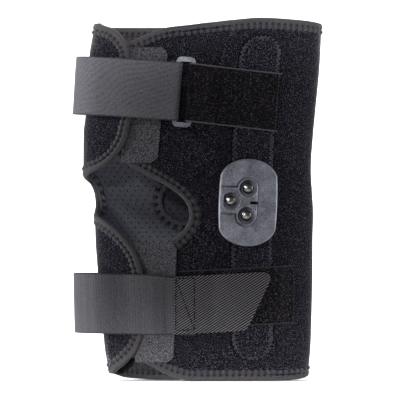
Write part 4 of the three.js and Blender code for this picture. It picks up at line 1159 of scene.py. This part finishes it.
# top of the cover: an island round the domes that runs out to the left inside a groove, three recesses with
# lips, the indicator slot and a fine angled line under it
def coverRelief(x, y):
    groove = islandShape["groove"] * grooveLine(x, y)
    relief = islandShape["rise"] * ease(-islandAway(x, y), -0.3, 0.5) - groove
    inside = np.min(recessAway(x, y), 0)
    fromLip = (inside - hingeShape["lipAt"]) / hingeShape["lipWidth"]
    relief = relief + hingeShape["lip"] * np.exp(-fromLip ** 2)
    relief = relief - hingeShape["depth"] * ease(-inside, -0.2, hingeShape["slope"])
    slotX, slotY, half, thin = (slotShape[key] for key in ("x", "y", "halfWidth", "lineHalf"))
    under = boxAway(x, y, slotX, slotY - slotShape["lineDrop"], half, thin)
    upright = boxAway(x, y, slotX + half, slotY - slotShape["tickDrop"], thin, slotShape["tickHalf"])
    line = np.exp(-(np.maximum(np.minimum(under, upright), 0) / slotShape["lineWidth"]) ** 2)
    cut = slotShape["depth"] * ease(-slotAway(x, y), -0.1, 0.3) + slotShape["lineDepth"] * line
    return relief - cut * (inside > slotShape["clear"])


# quads between closed rings of points and a fan over each end, about the two points that follow the rings
def ringFaces(shape, step=1):
    ids = np.arange(shape[0] * shape[1]).reshape(shape)
    closed = np.concatenate([ids, ids[:, :1]], 1)
    hub = np.full(shape[1], ids.size)
    fans = [np.stack([hub, closed[0, :-1], closed[0, 1:]], -1),
            np.stack([hub + 1, closed[-1, 1:], closed[-1, :-1]], -1)]
    return gridQuads(closed)[:, ::step].tolist() + np.concatenate(fans)[:, ::step].tolist()


# a piece of closed rings with a point over each end, and on each point its share of painted shade for its
# finish
def addRings(name, base, x, y, high, ends, faces, finishes, paintedShade, paintedShadeEnds, faceFinish=None):
    tips = onFrame(base, *(np.array(values, float) for values in zip(*ends)))
    points = np.concatenate([onFrame(base, x, y, high).reshape(-1, 3), tips])
    uv = np.concatenate([np.stack([x, y], -1).reshape(-1, 2), np.zeros((2, 2))])
    piece = addPiece(name, points, faces, uv, finishes, faceFinish, sharp=60)
    groove = piece.data.attributes.new("groove", "FLOAT", "POINT")
    groove.data.foreach_set("value", np.append(paintedShade.ravel(), paintedShadeEnds).astype(np.float32))
    return piece


# cover: rings shrunk from the outline to its middle carry the top, a quarter round and the side close it to
# its base
def buildHinge(side, coverNode, name):
    base, mirror = wallFrame(side), -side
    ox, oy = coverOutline(hingeShape["spokes"] if side < 0 else hingeShape["farSpokes"])
    share = np.linspace(0, 1, hingeShape["rings"] if side < 0 else hingeShape["farRings"])[1:]
    near = 1 - hingeShape["edge"] / np.hypot(ox, oy)
    x, y = (ox * near)[None] * share[:, None], (oy * near)[None] * share[:, None]
    top = hingeShape["top"] + coverRelief(mirror * x, y) * ease(1 - share, 0, 0.03)[:, None]
    bend = np.linspace(0, np.pi / 2, 8)[1:, None]
    out = near + (1 - near) * np.sin(bend)
    sideHigh = np.broadcast_to(hingeShape["top"] - hingeShape["edge"] * (1 - np.cos(bend)), out.shape)
    xs = np.concatenate([x, ox * out, ox[None], ox[None] * hingeShape["base"]])
    ys = np.concatenate([y, oy * out, oy[None], oy[None] * hingeShape["base"]])
    high = np.concatenate([top, sideHigh, np.zeros((2, len(ox)))])
    midX, midY = ((v[:-1] + v[1:]) / 2 for v in (mirror * xs, ys))
    onTop = np.arange(len(midX))[:, None] < len(share) - 2
    faceFinish = np.append(((slotAway(midX, midY) < 0.25) & onTop).ravel(), np.zeros(2 * len(ox)))
    # painted shade: the groove line on its left side and each recess's upper left wall, where the lamp casts
    # shadow
    paintedShade = np.maximum(grooveLine(mirror * xs, ys) * ease(-mirror * xs, 2.5, 6.0),
                      recessShade(mirror * xs, ys))
    paintedShade = paintedShade * (np.arange(len(xs)) < len(share))[:, None]
    cover = addRings(name, base, xs, ys, high, [(0, 0, top[0].mean()), (0, 0, 0)], ringFaces(xs.shape),
                     [hingePlastic, slotShade], paintedShade, [0, 0], faceFinish)
    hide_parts(coverNode)
    return base, mirror


# rivet dome: a foot ring and a quarter ellipse turned about its own axis, darkened away from a spot above its
# middle: a painted highlight there and a painted dark reflection toward its foot
def buildDome(base, mirror, index, name, node):
    radius, floor, foot, sunk, rise = (domeShape[key] for key in ("radius", "floor", "foot", "sunk", "rise"))
    middleX, middleY = mirror * domes[index][0], domes[index][1]
    bend = np.linspace(0, np.pi / 2, domeShape["rings"])[1:-1]
    reach = radius * np.concatenate([[domeShape["sunkReach"], 1, 1], np.cos(bend)])[:, None]
    high = floor + np.concatenate([[-sunk, -sunk, foot], foot + (rise - foot) * np.sin(bend)])[:, None]
    angle = np.linspace(0, 2 * np.pi, domeShape["spokes"], endpoint=False)
    x, y = middleX + reach * np.cos(angle), middleY + reach * np.sin(angle)
    fromBright = np.hypot(mirror * (x - middleX) / radius - domeShape["brightX"],
                          (y - middleY) / radius - domeShape["brightY"])
    paintedHighlightFalloff = ease(fromBright, *domeShape["paintedHighlightFalloff"])
    ends = [(middleX, middleY, floor - sunk), (middleX, middleY, floor + rise)]
    dome = addRings(name, base, x, y, high + 0 * x, ends, ringFaces(x.shape, -1), [rivetSteel],
                    paintedHighlightFalloff, [1, 0])
    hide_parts(node)


for side, word in ((-1, "lateral"), (1, "medial")):
    base, mirror = buildHinge(side, word + "_hinge_cover", word + "HingeCover")
    for index in range(3):
        buildDome(base, mirror, index, f"{word}HingeDome{index + 1}", f"{word}_hinge_dome_{index + 1}")

buckleEdge = dict(width=0.7, segments=3)
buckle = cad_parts["slot_buckle"]
buckle.data.materials.clear()
buckle.data.materials.append(hingePlastic)
softened = buckle.modifiers.new("softEdges", "BEVEL")
softened.width, softened.segments = buckleEdge["width"] * mm, buckleEdge["segments"]
softened.limit_method = "ANGLE"
print("hinges and buckle")


stageShape = dict(halfWidth=1.0, front=-0.64, back=1.6, bend=0.35, top=0.42, steps=24)
paperLook = dict(dark=(0.86, 0.86, 0.86), light=(0.88, 0.88, 0.88), grain=400.0, roughness=0.9, specular=0.5)
cameraShape = dict(away=6.0, x=0.0023, z=0.1637, pixel=0.0009028, pixels=400)
air = dict(colour=(0.9, 0.93, 1.0, 1), strength=0.03)
sleeveMiddle = (0, 0, 0.16)
lamps = [dict(name="keyLamp", place=(-1.15, -0.8, 1.0), aim=sleeveMiddle, size=(0.25, 0.25), power=20),
         dict(name="frontLamp", place=(-0.5, -1.6, 0.7), aim=sleeveMiddle, size=(0.14, 0.14), power=8.2),
         dict(name="leftLamp", place=(-1.3, 0.1, 0.3), aim=(0, 0.05, 0.16), size=(0.12, 0.9), power=42),
         dict(name="rightLamp", place=(1.3, -0.06, 0.3), aim=sleeveMiddle, size=(0.3, 0.9), power=34),
         dict(name="lowLamp", place=(-0.2, -1.1, 0.02), aim=(0, 0, -0.03), size=(1.0, 0.04), power=1.3,
              spread=12),
         dict(name="highLamp", place=(0.1, -1.1, 0.5), aim=(0.03, 0, 0.36), size=(0.8, 0.05), power=0.9,
              spread=10),
         dict(name="topLamp", place=(0.0, 0.6, 1.5), aim=sleeveMiddle, size=(1.0, 0.9), power=22),
         dict(name="wallLamp", place=(0.0, 1.1, 1.3), aim=(0, 1.9, 0.15), size=(2.2, 0.5), power=36)]


# studio sweep: a level floor, a quarter circle and an upright wall, carried across
def buildSweep():
    front, back, radius, top = (stageShape[key] for key in ("front", "back", "bend", "top"))
    bend = np.linspace(0, np.pi / 2, stageShape["steps"])
    y = np.concatenate([[front], back + radius * np.sin(bend), [back + radius]])
    z = np.concatenate([[0.0], radius * (1 - np.cos(bend)), [top]])
    x = np.linspace(-stageShape["halfWidth"], stageShape["halfWidth"], 2)[:, None]
    points = np.stack(np.broadcast_arrays(x, y[None], z[None]), -1)
    ids = np.arange(2 * len(y)).reshape(2, len(y))
    mesh = bpy.data.meshes.new("studioSweep")
    mesh.from_pydata(points.reshape(-1, 3).tolist(), [], gridQuads(ids).tolist())
    mesh.polygons.foreach_set("use_smooth", np.ones(len(mesh.polygons), bool))
    finish, tree, shader = newFinish("palePaper", paperLook)
    tone = grainNoise(tree, objectPlace(tree), paperLook["grain"])
    tree.links.new(mixColours(tree, tone, paperLook["dark"], paperLook["light"]), shader.inputs["Base Color"])
    mesh.materials.append(finish)
    sweep = bpy.data.objects.new("studioSweep", mesh)
    bpy.context.scene.collection.objects.link(sweep)


# an area lamp in metres and watts, turned to what it aims at
def addLamp(name, place, aim, size, power, spread=180):
    lamp = bpy.data.lights.new(name, "AREA")
    lamp.shape, lamp.size, lamp.size_y = "RECTANGLE", size[0], size[1]
    lamp.energy, lamp.spread = power, np.radians(spread)
    shown = bpy.data.objects.new(name, lamp)
    shown.location = place
    away = np.asarray(place, float) - np.asarray(aim, float)
    shown.rotation_euler = Vector(away).to_track_quat("Z", "Y").to_euler()
    bpy.context.scene.collection.objects.link(shown)


# level camera in front of the near side, its lens set so that one pixel there is as long as in the photograph
def addCamera():
    eye = bpy.data.cameras.new("camera")
    near = cameraShape["away"] - sleeve["depthHigh"] * mm
    eye.lens = eye.sensor_width * near / (cameraShape["pixels"] * cameraShape["pixel"])
    eye.clip_start, eye.clip_end = 0.1, 20
    camera = bpy.data.objects.new("camera", eye)
    camera.location = (cameraShape["x"], -cameraShape["away"], cameraShape["z"])
    camera.rotation_euler = (np.pi / 2, 0, 0)
    bpy.context.scene.collection.objects.link(camera)
    bpy.context.scene.camera = camera


buildSweep()
for lamp in lamps:
    addLamp(**lamp)
world = bpy.data.worlds.new("studioAir")
world.use_nodes = True
backdrop = world.node_tree.nodes["Background"]
backdrop.inputs["Color"].default_value = air["colour"]
backdrop.inputs["Strength"].default_value = air["strength"]
bpy.context.scene.world = world
bpy.context.scene.view_settings.view_transform = "Standard"
addCamera()
bpy.context.view_layer.update()
